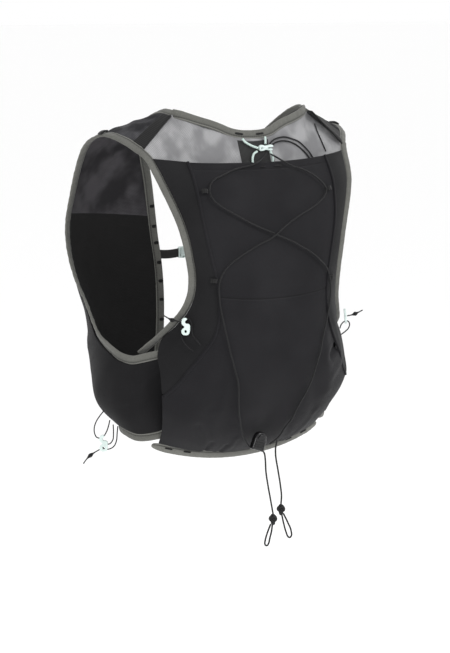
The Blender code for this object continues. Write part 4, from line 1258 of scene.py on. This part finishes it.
def overhand_knot(name, centre, size, radius, nodes):
    """Closed trefoil, a curve that winds twice round the middle while it goes up and down three times."""
    turn = np.linspace(0, 2 * np.pi, 121)[:-1]
    curve = np.stack([np.sin(turn) + 2 * np.sin(2 * turn), -np.sin(3 * turn) * 1.6,
                      np.cos(turn) - 2 * np.cos(2 * turn)], 1)
    reach = np.array(size) - 2 * radius
    line = curve / np.ptp(curve, axis=0) * reach + centre
    line = np.concatenate([line, line[:1]])
    rings = tube_rings(line, radius, 12)
    return loft(name, rings, metres_along(line), np.arange(13) / 12, black_cord, nodes)


# %% The lacing, held along its whole way
for side, points in (("left", LACING_LEFT), ("right", LACING_RIGHT)):
    braided(f"lacing_{side}_braid", points, cord_radius, black_cord, [f"lacing_{side}"])

# %% [markdown]
# ### Lengths of the free cords
# A free cord's length is that of the smooth line through its points. These lengths were read off the curves
# once those had been laid over the photograph, and rounded to a millimetre, so they agree with the drawn
# cords by origin. The photograph doesn't show the right front cords at all: they take the lengths of the left
# ones. A few others pass behind cloth for a centimetre.


THIN_SPACING, KNOTTED_SPACING, THIN_SIDES = 0.0008, 0.0004, 10


def thin_cord(name, points, node, knotted=False):
    """Thin cord. With a barrel knot on it, its points lie closer together."""
    swell, spacing = (barrel_knot, KNOTTED_SPACING) if knotted else (None, THIN_SPACING)
    return braided(name, points, thin_cord_radius, black_cord, [node], swell, spacing, THIN_SIDES)


# %% The tails below the cord lock
KNOT_SHARE, KNOT_RADIUS = 1.2, 0.0022
KNOTS = {"left": (-0.0160, 0.0580, -0.4526), "right": (-0.0348, 0.0480, -0.4454)}
TAILS = {"left": (TAIL_LEFT, TAIL_LEFT_LOOP), "right": (TAIL_RIGHT, TAIL_RIGHT_LOOP)}
for side, (tail, bight) in TAILS.items():
    knot = overhand_knot(f"tail_knot_{side}_turns", KNOTS[side], np.array(knot_size) * KNOT_SHARE,
                         KNOT_RADIUS, [f"tail_knot_{side}"])
    loop, loop_line = braided(f"tail_loop_{side}_braid", bight, cord_radius, black_cord,
                              [f"tail_loop_{side}"])
    hanging, line = braided(f"tail_{side}_braid", tail, cord_radius, black_cord, [f"tail_{side}"])

# %% The flat hooks
def both_halves(upper):
    """Closed outline from its upper half, whose first and last points lie on its middle line."""
    return upper + [(x, -y) for x, y in upper[-2:0:-1]]


# Outlines in millimetres, x along the hook and y across it
HOOK_OUTLINE = [(-9.6, 0.0), (-9.2, 2.4), (-7.2, 3.9), (-4.6, 4.2), (-2.6, 3.2), (-1.2, 1.6), (0.2, 1.5),
                (1.4, 3.0), (3.6, 4.3), (6.4, 4.2), (8.8, 3.2), (9.8, 1.2), (9.2, -0.6), (7.6, -0.8),
                (6.2, 0.6), (4.6, 0.9), (3.4, -0.4), (3.2, -2.6), (1.6, -4.2), (-1.6, -4.4), (-5.0, -4.3),
                (-8.2, -3.4), (-9.4, -1.8)]
NECK_OUTLINE = both_halves([(-9.3, 0.0), (-8.8, 2.2), (-6.6, 3.3), (-3.0, 3.0), (-0.5, 2.2), (2.5, 2.6),
                            (6.5, 3.2), (8.9, 3.1), (9.4, 1.6), (8.0, 0.9), (4.2, 0.8), (2.6, 0.0)])


def round_curve(points, steps):
    """Smooth closed line through points: a cubic round them, with the run started again at the end."""
    points = np.array(points, float)
    turns = np.concatenate([points[-3:], points, points[:4]])
    return through(np.arange(len(turns)), turns, np.linspace(3, 3 + len(points), steps + 1)[:-1])


def circle(x, y, radius, steps=20):
    """Round hole in a plate."""
    angle = np.arange(steps) / steps * 2 * np.pi
    return np.stack([x + radius * np.cos(angle), y + radius * np.sin(angle)], 1)


def plate(name, outlines, thick, edge_round, centre, turn, look, nodes=()):
    """Flat moulded part: outlines in millimetres, the first one the rim, with rounded edges."""
    curve = bpy.data.curves.new(name, "CURVE")
    curve.dimensions, curve.fill_mode = "2D", "BOTH"
    curve.extrude, curve.bevel_depth, curve.bevel_resolution = thick / 2 - edge_round, edge_round, 3
    curve.offset = -edge_round
    for outline in outlines:
        spline = curve.splines.new("POLY")
        spline.points.add(len(outline) - 1)
        flat = np.column_stack([np.array(outline) / 1000, np.zeros(len(outline)), np.ones(len(outline))])
        spline.points.foreach_set("co", flat.ravel())
        spline.use_cyclic_u = True
    holder = bpy.data.objects.new(name + "_outline", curve)
    bpy.context.scene.collection.objects.link(holder)
    bpy.context.view_layer.update()
    mesh = bpy.data.meshes.new_from_object(holder.evaluated_get(bpy.context.evaluated_depsgraph_get()))
    bpy.data.objects.remove(holder, do_unlink=True)
    place = np.eye(4)
    place[:3, :3], place[:3, 3] = turn, centre
    mesh.transform(Matrix(place.tolist()))
    mesh.materials.clear()
    mesh.materials.append(look)
    mesh.shade_smooth()
    mesh.set_sharp_from_angle(angle=0.9)
    return placed(name, mesh, nodes)


QUARTER = np.array([[0, -1, 0], [1, 0, 0], [0, 0, 1.0]])
HOLE = circle(-5.4, -0.2, 1.5)


def tension_hook(name, centre, along, facing, node, mirror=1):
    """Moulded hook with a round hole at one end and an open notch at the other."""
    outline = round_curve(HOOK_OUTLINE, 96) * [1, 1.12 * mirror]
    turn = frame_of(along, facing) @ QUARTER
    return plate(name, [outline[::mirror], HOLE], hook_size[2], 0.0006, centre, turn,
                 mint_plastic, [node])


# %% Thin cords and hooks behind the arms
for side, (centre, along, facing) in REAR_HOOKS.items():
    loop_points, tail_points = REAR_CORDS[side]
    tension_hook(f"rear_hook_{side}_moulding", centre, along, facing, f"rear_hook_{side}")
    loop, line = thin_cord(f"rear_loop_{side}_braid", loop_points, f"rear_hook_loop_{side}")
    thin_cord(f"rear_end_{side}_braid", tail_points, f"rear_hook_tail_{side}", knotted=True)

# %% Thin cords and hooks below the fronts
centre, along, facing = FRONT_HOOK
RIGHT_FRONT_SHIFT = np.array([0.124, -0.344, 0.0035]) * to_metres
for side, mirror in BOTH_SIDES:
    shift = RIGHT_FRONT_SHIFT if side == "right" else np.zeros(3)
    tension_hook(f"front_hook_{side}_moulding", centre * mirror + shift, along, facing * mirror,
                 f"front_hook_{side}", int(mirror[0]))
    loop, line = thin_cord(f"front_loop_{side}_braid", FRONT_LOOP * mirror + shift,
                           f"front_hook_loop_{side}")
    run, run_line = thin_cord(f"front_cord_{side}_braid", FRONT_CORD * mirror + shift,
                              f"front_hook_cord_{side}")
    thin_cord(f"front_end_{side}_braid", FRONT_TAIL * mirror + shift, f"front_hook_tail_{side}",
              knotted=True)

# %% Cords on the yoke
NECK_HOOK_PLACE = (-0.0125, 0.0464, -0.0230)
plate("neck_hook_moulding", [round_curve(NECK_OUTLINE, 88), circle(-5.6, 0, 1.2)], neck_hook_size[2], 0.0009,
      NECK_HOOK_PLACE, frame_of((0, 0.3, 1), (0, 1, -0.3)), mint_plastic, ["neck_hook"])
for name, points in NECK_CORDS.items():
    braided(f"neck_cord_{name}_braid", points, neck_cord_radius, mint_cord,
            [f"neck_cord_{name}"])
for name, points in (("outer", MOUTH_CORD_OUTER), ("inner", MOUTH_CORD_INNER)):
    thing, line = braided(f"mouth_cord_{name}_braid", points, mouth_cord_radius, black_cord,
                          [f"mouth_cord_{name}"])
thing, line = thin_cord("shoulder_cord_right_braid", SHOULDER_CORD, "shoulder_cord_right")

# %% [markdown]
# ## Cloth panels
# Each panel is a smooth sheet between two edges. What makes it cloth are its folds: each is a soft
# ridge or a groove along a short line in the cloth's own metres, added up over the whole grid. A
# simulation would need the body inside it, and would pull the edges off their tapes.

# %% Folds
def folds(table, ripples=(), clear=0.0):
    """Sum of ridges, each a bell curve of the distance to a line, and of long, low waves."""
    def height(across, down):
        """How far the cloth is pushed out at each place across and down it, in metres."""
        total = np.zeros(across.shape)
        for x0, y0, x1, y1, wide, high in table:
            run = np.array([x1 - x0, y1 - y0])
            share = np.clip(((across - x0) * run[0] + (down - y0) * run[1]) / (run @ run), 0, 1)
            away = np.hypot(across - x0 - share * run[0], down - y0 - share * run[1])
            total += high * np.exp(-((away / wide) ** 2))
        for length_across, length_down, phase, high in ripples:
            total += high * np.sin(2 * np.pi * (across / length_across + down / length_down) + phase)
        return total + clear
    return height


# %% The inner back panel with its yoke
YOKE_FOLDS = folds([
    (0.030, 0.004, 0.046, 0.034, 0.005, 0.0010),
    (0.058, 0.002, 0.052, 0.030, 0.006, -0.0010),
    (0.075, 0.010, 0.085, 0.045, 0.006, 0.0010),
    (-0.030, 0.006, -0.034, 0.030, 0.003, -0.0007),
    (-0.050, 0.004, -0.062, 0.034, 0.006, 0.0010),
    (-0.078, 0.010, -0.082, 0.050, 0.006, -0.0008),
], [(0.090, 0.400, 0.4, 0.0005), (-0.130, 0.230, 1.2, 0.0005)], -0.0004)
panel("back_panel_cloth", inner_back_grid(150, 130), yoke_mesh, ["back_panel"], folds=YOKE_FOLDS)
panel("centre_strip_cloth", centre_strip_grid(50, 24), webbing, ["centre_strip"], side=1,
      wall=strip_thick, lift=3 * gap)

# %% The stash pocket
POCKET_FOLDS = folds([
    (0.085, 0.320, 0.045, 0.372, 0.006, -0.0014),
    (0.075, 0.300, 0.050, 0.362, 0.007, 0.0012),
    (0.058, 0.345, 0.052, 0.380, 0.003, -0.0016),
    (0.035, 0.350, 0.033, 0.385, 0.003, -0.0012),
    (0.028, 0.335, 0.027, 0.380, 0.004, 0.0008),
    (0.070, 0.230, 0.078, 0.300, 0.009, -0.0012),
    (0.060, 0.200, 0.067, 0.290, 0.007, 0.0008),
    (-0.055, 0.250, -0.075, 0.320, 0.010, -0.0015),
    (-0.130, 0.226, -0.088, 0.240, 0.007, -0.0040),
    (-0.125, 0.258, -0.095, 0.266, 0.008, 0.0018),
    (-0.075, 0.215, -0.088, 0.285, 0.009, 0.0014),
    (-0.040, 0.320, -0.052, 0.372, 0.006, -0.0012),
    (-0.078, 0.315, -0.060, 0.368, 0.006, 0.0012),
    (0.000, 0.300, 0.002, 0.350, 0.010, -0.0009),
    (-0.080, 0.157, 0.080, 0.157, 0.0022, -0.0007),
    (-0.080, 0.0085, 0.080, 0.0085, 0.0016, -0.0004),
], [(0.160, 0.500, 0.3, 0.0006), (-0.220, 0.180, 1.0, 0.0005)], -0.0008)
panel("stash_pocket_cloth", stash_pocket_grid(230, 170), pocket_fabric, ["stash_pocket"],
      side=1, folds=POCKET_FOLDS)
SIDE_FOLDS = folds([
    (0.010, 0.150, 0.014, 0.200, 0.006, -0.0008),
    (0.004, 0.210, 0.016, 0.250, 0.006, 0.0009),
], [(0.070, 0.300, 0.5, 0.0004)], -0.0004)
both_panels("pocket_side", side_grid(190, 34), side_fabric, 1, SIDE_FOLDS)

# %% Straps, fronts and pockets of one side
BAND_FOLDS = folds([], [(0.060, 0.300, 0.2, 0.0002)])
SHOULDER_FOLDS = folds([
    (-0.020, 0.010, 0.012, 0.034, 0.005, 0.0012),
    (0.014, 0.006, -0.012, 0.036, 0.005, -0.0012),
    (-0.016, 0.040, 0.016, 0.064, 0.006, 0.0013),
    (0.018, 0.040, -0.010, 0.068, 0.006, -0.0012),
], [(0.080, 0.120, 0.6, 0.0004)])
FRONT_FOLDS = folds([
    (0.000, -0.100, 0.020, -0.050, 0.006, 0.0012),
    (-0.015, -0.120, 0.004, -0.075, 0.006, -0.0012),
    (0.020, -0.080, -0.010, -0.035, 0.008, 0.0010),
    (-0.025, 0.040, 0.015, 0.110, 0.012, 0.0014),
    (0.028, 0.060, 0.010, 0.140, 0.010, -0.0012),
    (-0.030, 0.130, 0.010, 0.180, 0.012, 0.0012),
    (-0.040, 0.000, 0.040, 0.000, 0.0020, -0.0006),
], [(0.150, 0.240, 0.2, 0.0006), (-0.110, 0.300, 1.4, 0.0004)])
FRONT_POCKET_FOLDS = folds([
    (-0.030, 0.080, 0.020, 0.150, 0.012, -0.0016),
    (0.030, 0.050, 0.015, 0.130, 0.010, 0.0012),
    (-0.040, 0.160, 0.000, 0.210, 0.010, 0.0014),
    (0.010, 0.200, 0.045, 0.240, 0.008, -0.0012),
    (-0.030, 0.290, 0.000, 0.330, 0.006, 0.0009),
    (-0.060, 0.0085, 0.060, 0.0085, 0.0016, -0.0004),
], [(0.180, 0.260, 0.7, 0.0008)], 0.0)


def reaching(grid, reach, rise):
    """Grid with one more row ahead of its first, past the seam and raised off the cloth it covers."""
    ahead = grid[0] - grid[1]
    ahead = ahead / np.linalg.norm(ahead, axis=-1, keepdims=True)
    return np.concatenate([(grid[0] + ahead * reach + normals(grid)[0] * rise)[None], grid])


# How far each shoulder band reaches past its seam over the yoke, and how high it lies there, in metres
BAND_REACH = {"left": (0.0042, 0.0003), "right": (0.0145, 0.0026)}
band = strap_grid(0.03, BAND_ROW + 0.05, 24, 40)
for word, one in (("left", band), ("right", mirrored(band))):
    panel(f"shoulder_band_{word}_cloth", reaching(one, *BAND_REACH[word]), band_webbing,
          [f"shoulder_band_{word}"], wall=cloth + 2 * SEAM_LAP, lift=-SEAM_LAP, folds=BAND_FOLDS)
both_panels("shoulder_mesh", strap_grid(BAND_ROW + 0.02, FRONT_ROW + 0.05, 70, 44),
            strap_mesh, -1, SHOULDER_FOLDS)
# Painted shade: the right shoulder's mesh takes the darker copy of the strap mesh
made["shoulder_mesh_right_cloth"].data.materials[0] = deep_mesh
front = strap_grid(FRONT_ROW + 0.04, INNER_LAST_ROW, 200, 70)
# The front's folds are measured down from the row where its pocket begins
pocket_line = int(round((POCKET_ROW - FRONT_ROW - 0.04) / (INNER_LAST_ROW - FRONT_ROW - 0.04) * 199))
seam_down = cloth_metres(front)[pocket_line, 35, 1]
both_panels("front_panel", front, front_mesh, -1, FRONT_FOLDS, seam_down)
both_panels("front_pocket", strap_grid(POCKET_ROW, LAST_ROW, 220, 80, over=True),
            front_fabric, 1, FRONT_POCKET_FOLDS)

# %% [markdown]
# ## Bindings
# A binding is a tape folded over the raw edge. Its section is carried along the edge: fat at the
# fold, pulled in where the row of stitches holds it, and thin again at its inner lip.

# %% Section of the tape
# From the fold to the lip. Columns: place across in widths, height in thicknesses
HALF_SECTION = [(-0.500, 0.10), (-0.485, 0.24), (-0.440, 0.36), (-0.360, 0.45), (-0.240, 0.50),
                (-0.100, 0.50), (0.040, 0.46), (0.150, 0.41), (0.225, 0.34), (0.270, 0.28), (0.315, 0.33),
                (0.380, 0.36), (0.450, 0.31), (0.500, 0.17)]
# Lengths of the two waves in a tape's height, in metres, and the shift of the second
SHORT_WAVE, LONG_WAVE, WAVE_SHIFT = 0.0115, 0.031, 0.8


def tape_section(width, thick):
    """Closed section: the upper half from the fold to the lip, then the lower half back."""
    upper = np.array(HALF_SECTION)
    lower = (upper * [1, -1])[::-1]
    return np.concatenate([upper, lower])[::-1] * [width, thick]


def tape(name, path, inward, slot, look, nodes, width=binding_width, thick=binding_thick, wrinkle=0.0003,
         taper=0.0):
    """Tape along an edge. Its height wavers, as a sewn edge does, and a taper rounds off both its ends."""
    section = tape_section(width, thick)
    place = metres_along(path)
    waver = np.sin(place * 2 * np.pi / SHORT_WAVE) * np.sin(place * 2 * np.pi / LONG_WAVE + WAVE_SHIFT)
    grown = np.repeat(section[None], len(path), 0)
    grown[..., 1] *= (1 + waver * wrinkle / thick * 2)[:, None]
    if taper:
        to_end = np.minimum(place, place[-1] - place) / taper
        grown *= (0.25 + 0.75 * np.sqrt(np.clip(1 - (1 - np.clip(to_end, 0, 1)) ** 2, 0, 1)))[:, None, None]
    rings = carried(path, inward, grown)
    around = np.append(section[:, 0], section[0, 0])
    return loft(name, rings, place, around, look, nodes)


# %% Armhole tapes and the long tape round neck, fronts and wings
path, inward = armhole_path(520)
tape("armhole_left_tape", path, inward, "binding_knit", binding_knit, ["armhole_binding_left"])
tape("armhole_right_tape", (path * MIRROR)[::-1], (inward * MIRROR)[::-1], "binding_knit", binding_knit,
     ["armhole_binding_right"])
tape("front_edge_tape", *front_edge_path(900), "binding_knit", binding_knit, ["front_edge_binding"])
tape("back_hem_tape", *hem_path(200), "binding_knit", hem_knit, ["back_hem_binding"], taper=0.022)
print("tape along one armhole:", round(chord_length(path), 3), "m")

# %% [markdown]
# ## Seams and bar tacks
# Where the pocket's middle meets its sides, a narrow felled seam stands a little proud. Short, dense
# rows of stitches, called bar tacks, hold every place that is pulled: beside the neck, along the
# front edges where the chest strap clips in, at the pocket's mouth and along the hem.

# %% Felled seams of the stash pocket
down = pocket_places(160)
down = down[down < POCKET_SEAM[-1][0]]
seam = outer_back(seam_share(down) + 0.5 * seam_room / half_width, down)
beside = outer_back(seam_share(down) + 0.02, down)
for name, mirror in BOTH_SIDES:
    line, way = seam * mirror, (beside - seam) * mirror
    if name == "right":
        line, way = line[::-1], way[::-1]
    tape(f"pocket_seam_{name}_fell", line, way, "pocket_fabric", pocket_fabric, [], 0.0034, 0.0030, 0.0)

# %% Bar tacks
def tack(centre, along, facing, size, wraps=9, sides=12):
    """Rings of a satin-stitched bar: a flat rounded rod whose radius ripples with its threads."""
    turn = frame_of(along, facing)
    place = np.linspace(-1, 1, wraps * 4 + 1)
    swell = np.sqrt(np.clip(1 - place**6, 0, 1)) * (1 + 0.10 * np.cos(place * wraps * np.pi)) + 0.02
    angle = -np.arange(sides) / sides * 2 * np.pi
    flat = np.stack([swell[:, None] * np.cos(angle) * size[0] / 2,
                     place[:, None] * size[1] / 2 + np.zeros(sides),
                     swell[:, None] * np.sin(angle) * size[2] / 2], -1)
    return flat @ turn.T + centre


def tacks(name, bars):
    """All bars of one group as one object."""
    rings = [tack(*bar) for bar in bars]
    count, sides = rings[0].shape[:2]
    points = np.concatenate([one.reshape(-1, 3) for one in rings])
    quads = ring_quads(count, sides)[2]
    faces = []
    for first in range(0, len(rings) * count * sides, count * sides):
        faces += (quads + first).tolist() + [[first + corner for corner in cap] for cap in caps(count, sides)]
    corners = sum(len(face) for face in faces)
    spread = np.stack([np.arange(corners) * 0.00013 % 0.01, np.arange(corners) * 0.37 % 1.0], 1)
    return finished(name, points, faces, spread, thread_black)


def on_tape(path, inward, share, across=0.0, out=1):
    """Place on the face of a tape at a share of its length, with its run and the way out of its face."""
    here = int(round(share * (len(path) - 1)))
    forward = unit(np.gradient(path, axis=0))[here]
    way = unit(inward[here] - forward * (inward[here] @ forward))
    face = np.cross(way, forward) * out
    return path[here] + way * across + face * binding_thick * 0.47, forward, way, face


# Sizes of the bars in metres: across, along and thick
NECK_BAR, FRONT_BAR, HEM_BAR = (0.0024, 0.0110, 0.0014), (0.0036, 0.0056, 0.0032), (0.0020, 0.0100, 0.0012)
# Shares of the long tape and of the hem's tape where bars are sewn, and heights down the front edges
NECK_SHARES, HEM_SHARES = (0.4870, 0.5067), (0.085, 0.185, 0.800, 0.900)
FRONT_HEIGHTS = (-0.098, -0.122, -0.143, -0.166, -0.188, -0.210, -0.233)

edge_line, edge_in = front_edge_path(900)
bars = []
for share in NECK_SHARES:
    centre, forward, way, face = on_tape(edge_line, edge_in, share)
    bars.append((centre, forward, face, NECK_BAR))
for height in FRONT_HEIGHTS:
    half = len(edge_line) // 2
    front_side = np.arange(len(edge_line))[:half]
    front_side = front_side[edge_line[:half, 1] < -0.05]
    nearest = front_side[np.argmin(np.abs(edge_line[front_side, 2] - height)
                                   + 10 * (edge_line[front_side, 0] > 0.10))]
    for number in (nearest, len(edge_line) - 1 - nearest):
        for out in (1, -1):
            share = number / (len(edge_line) - 1)
            centre, forward, way, face = on_tape(edge_line, edge_in, share, -0.0018, out)
            bars.append((centre, way, face, FRONT_BAR))
hem_line, hem_in = hem_path(200)
for share in HEM_SHARES:
    centre, forward, way, face = on_tape(hem_line, hem_in, share, 0.0010, -1)
    bars.append((centre, forward, face, HEM_BAR))
tacks("binding_tacks", bars)

# %% Tacks below the pocket's mouth
bars = []
for x, z, long in ((0.0005, -0.0440, 0.0070), (-0.0215, -0.0440, 0.0110)):
    centre, out = on_pocket(x, z, 0.0002)
    bars.append((centre, (1, 0, 0), out, (0.0016, long, 0.0010)))
tacks("mouth_tacks", bars)

# %% [markdown]
# ## Webbing, loops and moulded parts
# The lacing turns in small loops of folded webbing, sewn into the side seams. The chest strap is a
# light webbing with a two-part buckle, and the lacing is gripped by a spring cord lock at the hem.

# %% Loops that the lacing turns in
def bent_strap(name, centre, run, facing, rise, reach, width, thick, node):
    """Strap bent into a low arch: it rises from its ends as a half sine."""
    share = np.linspace(0, 1, 25)
    turn = frame_of(run, facing)
    flat = np.stack([np.zeros(25), (share - 0.5) * reach, np.sin(share * np.pi) ** 0.7 * rise], 1)
    line = flat @ turn.T + centre
    section = [(-0.5, -0.3), (-0.5, 0.3), (-0.46, 0.5), (0.46, 0.5),
               (0.5, 0.3), (0.5, -0.3), (0.46, -0.5), (-0.46, -0.5)]
    rings = carried(line, np.repeat(turn[:, 0][None], 25, 0), np.array(section) * [width, thick])
    around = np.array([p[0] for p in section] + [section[0][0]]) * width
    return loft(name, rings, metres_along(line), around, band_webbing, [node])


# Rise, reach, width and thickness of the arches, in metres, and where the anchors sit on the pocket
ANCHOR_ARCH = (0.0022, 0.0072, 0.0046, 0.0009)
TAB_ARCH = (0.0014, 0.0105, 0.0056, 0.0022)
ANCHORS = {"upper_left": (0.0870, -0.0662), "upper_right": (-0.0838, -0.0710),
           "lower_left": (0.0812, -0.1640), "lower_right": (-0.0822, -0.1720)}
for name, (x, z) in ANCHORS.items():
    centre, out = on_pocket(x, z, 0.0004)
    bent_strap(f"anchor_{name}_loop", centre, (1 if x > 0 else -1, 0, 0.12), out, *ANCHOR_ARCH,
               f"lace_anchor_{name}")

# %% Tabs on the shoulders
places = np.array([2.25])
top = strap_edges(places)[0][0]
run = strap_edges(places + 0.1)[0][0] - strap_edges(places - 0.1)[0][0]
inner = strap_sheet(places, np.array([0.05]))[0] - top
out = unit(np.cross(inner, run))
for name, mirror in BOTH_SIDES:
    centre = (top + out * (binding_thick / 2 + gap * 1.5)) * mirror
    bent_strap(f"shoulder_tab_{name}_loop", centre, inner * mirror, out * mirror, *TAB_ARCH,
               f"shoulder_tab_{name}")

# %% Chest strap and buckle
end = strap_edges(np.array([STERNUM_ROW]))[1][0]
strap_front, strap_height = end[1] - 0.0010, end[2]
reach = end[0] - binding_width * 0.2
BUCKLE_LEFT = 0.0040
buckle_right = BUCKLE_LEFT - buckle_size[0]
STRAP_SECTION = np.array([(-0.5, 0.0), (-0.48, 0.42), (-0.40, 0.5), (0.40, 0.5), (0.48, 0.42), (0.5, 0.0),
                          (0.48, -0.42), (0.40, -0.5), (-0.40, -0.5), (-0.48, -0.42)])[::-1]
for name, start, stop in (("left", reach, BUCKLE_LEFT - 0.0025), ("right", buckle_right + 0.0025, -reach)):
    run = np.linspace(start, stop, 60)
    sag = -0.0012 * np.sin(np.linspace(0, np.pi, 60))
    line = np.stack([run, np.full(60, strap_front), strap_height + sag], 1)
    section = STRAP_SECTION * [webbing_width, webbing_thick]
    rings = carried(line, np.repeat([[0, 0, 1.0]], 60, 0), section)
    around = np.append(section[:, 0], section[0, 0])
    loft(f"sternum_strap_{name}_webbing", rings, metres_along(line), around, webbing,
         [f"sternum_strap_{name}"])

BUCKLE_OUTLINE = both_halves([(-11.0, 0.0), (-10.9, 5.8), (-10.0, 7.0), (-6.0, 7.0), (-4.8, 6.2),
                              (-3.6, 5.2), (-1.0, 5.0), (1.2, 5.4), (2.6, 6.6), (4.4, 7.0), (9.4, 6.6),
                              (10.8, 5.6), (11.0, 0.0)])
SLOT_LEFT = [(-9.2, -5.0), (-7.6, -5.0), (-7.6, 5.0), (-9.2, 5.0)]
SLOT_RIGHT = [(7.8, -4.8), (9.3, -4.8), (9.3, 4.8), (7.8, 4.8)]
buckle_centre = np.array([BUCKLE_LEFT - buckle_size[0] / 2, strap_front, strap_height])
buckle_turn = frame_of((0, 0, 1), (0, -1, 0))
plate("sternum_buckle_body", [round_curve(BUCKLE_OUTLINE, 120), SLOT_LEFT, SLOT_RIGHT], buckle_size[2],
      0.0010, buckle_centre, buckle_turn, mint_plastic, ["sternum_buckle"])
RIDGE = [(-4.4, -2.6), (3.6, -3.2), (4.8, 0.0), (3.6, 3.2), (-4.4, 2.6), (-5.0, 0.0)]
plate("sternum_buckle_tongue", [round_curve(RIDGE, 60)], 0.0062, 0.0008, buckle_centre, buckle_turn,
      mint_plastic)

# %% Cord lock at the hem
LOCK_OUTLINE = [(-8.3, -10.6), (-8.5, -4.0), (-8.2, 3.0), (-6.2, 8.0), (-2.0, 10.6), (2.0, 10.6), (6.2, 8.0),
                (8.2, 3.0), (8.5, -4.0), (8.3, -10.6), (4.0, -11.0), (-4.0, -11.0)]
LOCK_PLACE = (0.0070, 0.0620, -0.3570)
lock_turn = frame_of((-0.36, 0, 1), (0, 1, 0))
plate("lace_clip_body", [round_curve(LOCK_OUTLINE, 96)],
      clip_size[2], 0.0024, LOCK_PLACE, lock_turn, black_plastic, ["lace_clip"])
GRIP_ROWS = (-7.2, -4.4, -1.6)
BUTTON = [(-4.6, 1.6), (4.6, 1.6), (5.0, 4.0), (3.0, 7.2), (0.0, 8.4), (-3.0, 7.2), (-5.0, 4.0)]
plate("lace_clip_button", [round_curve(BUTTON, 60)], clip_size[2] + 0.0024, 0.0011, LOCK_PLACE, lock_turn,
      black_plastic)

RIB = [(-5.6, -0.7), (5.6, -0.7), (6.2, 0.0), (5.6, 0.7), (-5.6, 0.7), (-6.2, 0.0)]
for number, row in enumerate(GRIP_ROWS):
    outline = round_curve([(x, y + row) for x, y in RIB], 48)
    plate(f"lace_clip_rib_{number}", [outline], clip_size[2] + 0.0016, 0.0007, LOCK_PLACE, lock_turn,
          black_plastic)

# %% [markdown]
# ## What is sheet
# Every panel is a cut piece of cloth, so its flat size is stated. The sizes were measured on the modelled
# panels laid flat. For the stretch fabrics they are then taken three to six hundredths smaller in area,
# which is an estimate of how far such cloth is pulled over a body. The right shoulder band is cut longer
# than the left, because it lies further over the yoke.

# %% Flat sizes
# Width and length in metres and area in square metres of each cut piece, how it is held, what it lies on
CUTS = {
    "back_panel": (0.326, 0.409, 0.0889, "hung", ["back_hem_binding"]),
    "centre_strip": (0.043, 0.044, 0.0017, "hung", ["back_panel"]),
    "stash_pocket": (0.270, 0.366, 0.0700, "stretched", ["back_panel"]),
    "pocket_side": (0.051, 0.286, 0.0079, "stretched", ["stash_pocket"]),
    "shoulder_band_left": (0.056, 0.019, 0.0009, "hung", ["back_panel"]),
    "shoulder_band_right": (0.056, 0.029, 0.0014, "hung", ["back_panel"]),
    "shoulder_mesh": (0.066, 0.058, 0.0034, "hung", ["shoulder_band_left"]),
    "front_panel": (0.143, 0.467, 0.0448, "hung", ["front_edge_binding"]),
    "front_pocket": (0.156, 0.406, 0.0438, "stretched", ["front_edge_binding"]),
}

for name, thing in made.items():
    if name.endswith("_cloth"):
        kind = name.removesuffix("_cloth").removesuffix("_left").removesuffix("_right")
        wide, long, area, held, lies_on = CUTS.get(name.removesuffix("_cloth")) or CUTS[kind]
        print(f"{name}: cut from {wide:.3f} by {long:.3f} m, {area * 1e4:.0f} square cm")

# %% [markdown]
# ## Light and floor
# A white room lights the vest from all sides. A broad soft light stands high on the picture's right, a
# lower one beside the camera reaches the inside of the fronts, and a weak one fills in from the far
# right. The vest hangs well above a pale floor, so it throws no shadow there.

# %% White surroundings
scene = bpy.context.scene
scene.view_settings.view_transform = "Standard"
world = bpy.data.worlds.new("studio")
scene.world = world
world.use_nodes = True
world.node_tree.nodes["Background"].inputs["Color"].default_value = (1, 1, 1, 1)
world.node_tree.nodes["Background"].inputs["Strength"].default_value = 1.0

FLOOR_HEIGHT, FLOOR_REACH = -0.95, 160.0
floor_mesh = bpy.data.meshes.new("floor")
corner = FLOOR_REACH / 2
floor_mesh.from_pydata([(-corner, -corner, FLOOR_HEIGHT), (corner, -corner, FLOOR_HEIGHT),
                        (corner, corner, FLOOR_HEIGHT), (-corner, corner, FLOOR_HEIGHT)], [], [(0, 1, 2, 3)])
floor = bpy.data.objects.new("floor", floor_mesh)
pale = bpy.data.materials.new("pale_floor")
pale.use_nodes = True
pale.node_tree.nodes["Principled BSDF"].inputs["Base Color"].default_value = (0.985, 0.985, 0.985, 1)
pale.node_tree.nodes["Principled BSDF"].inputs["Roughness"].default_value = 0.9
floor_mesh.materials.append(pale)
scene.collection.objects.link(floor)


def soft_light(name, place, size, power):
    """Square area light aimed at the middle of the vest."""
    lamp = bpy.data.lights.new(name, "AREA")
    lamp.size, lamp.energy = size, power
    holder = bpy.data.objects.new(name, lamp)
    holder.location = place
    aim = Vector((0, 0, -0.18)) - Vector(place)
    holder.rotation_euler = aim.to_track_quat("-Z", "Y").to_euler()
    scene.collection.objects.link(holder)
    return holder


# Place and side in metres, and power in watts
LAMPS = {"broad_light": ((-0.9, 2.3, 1.8), 1.2, 34.0),
         "inner_light": ((1.9, 2.0, 0.5), 0.9, 20.0),
         "fill_light": ((-2.2, -0.6, 1.2), 1.0, 9.0)}
for name, (place, size, power) in LAMPS.items():
    soft_light(name, place, size, power)
print("pieces:", len(made))
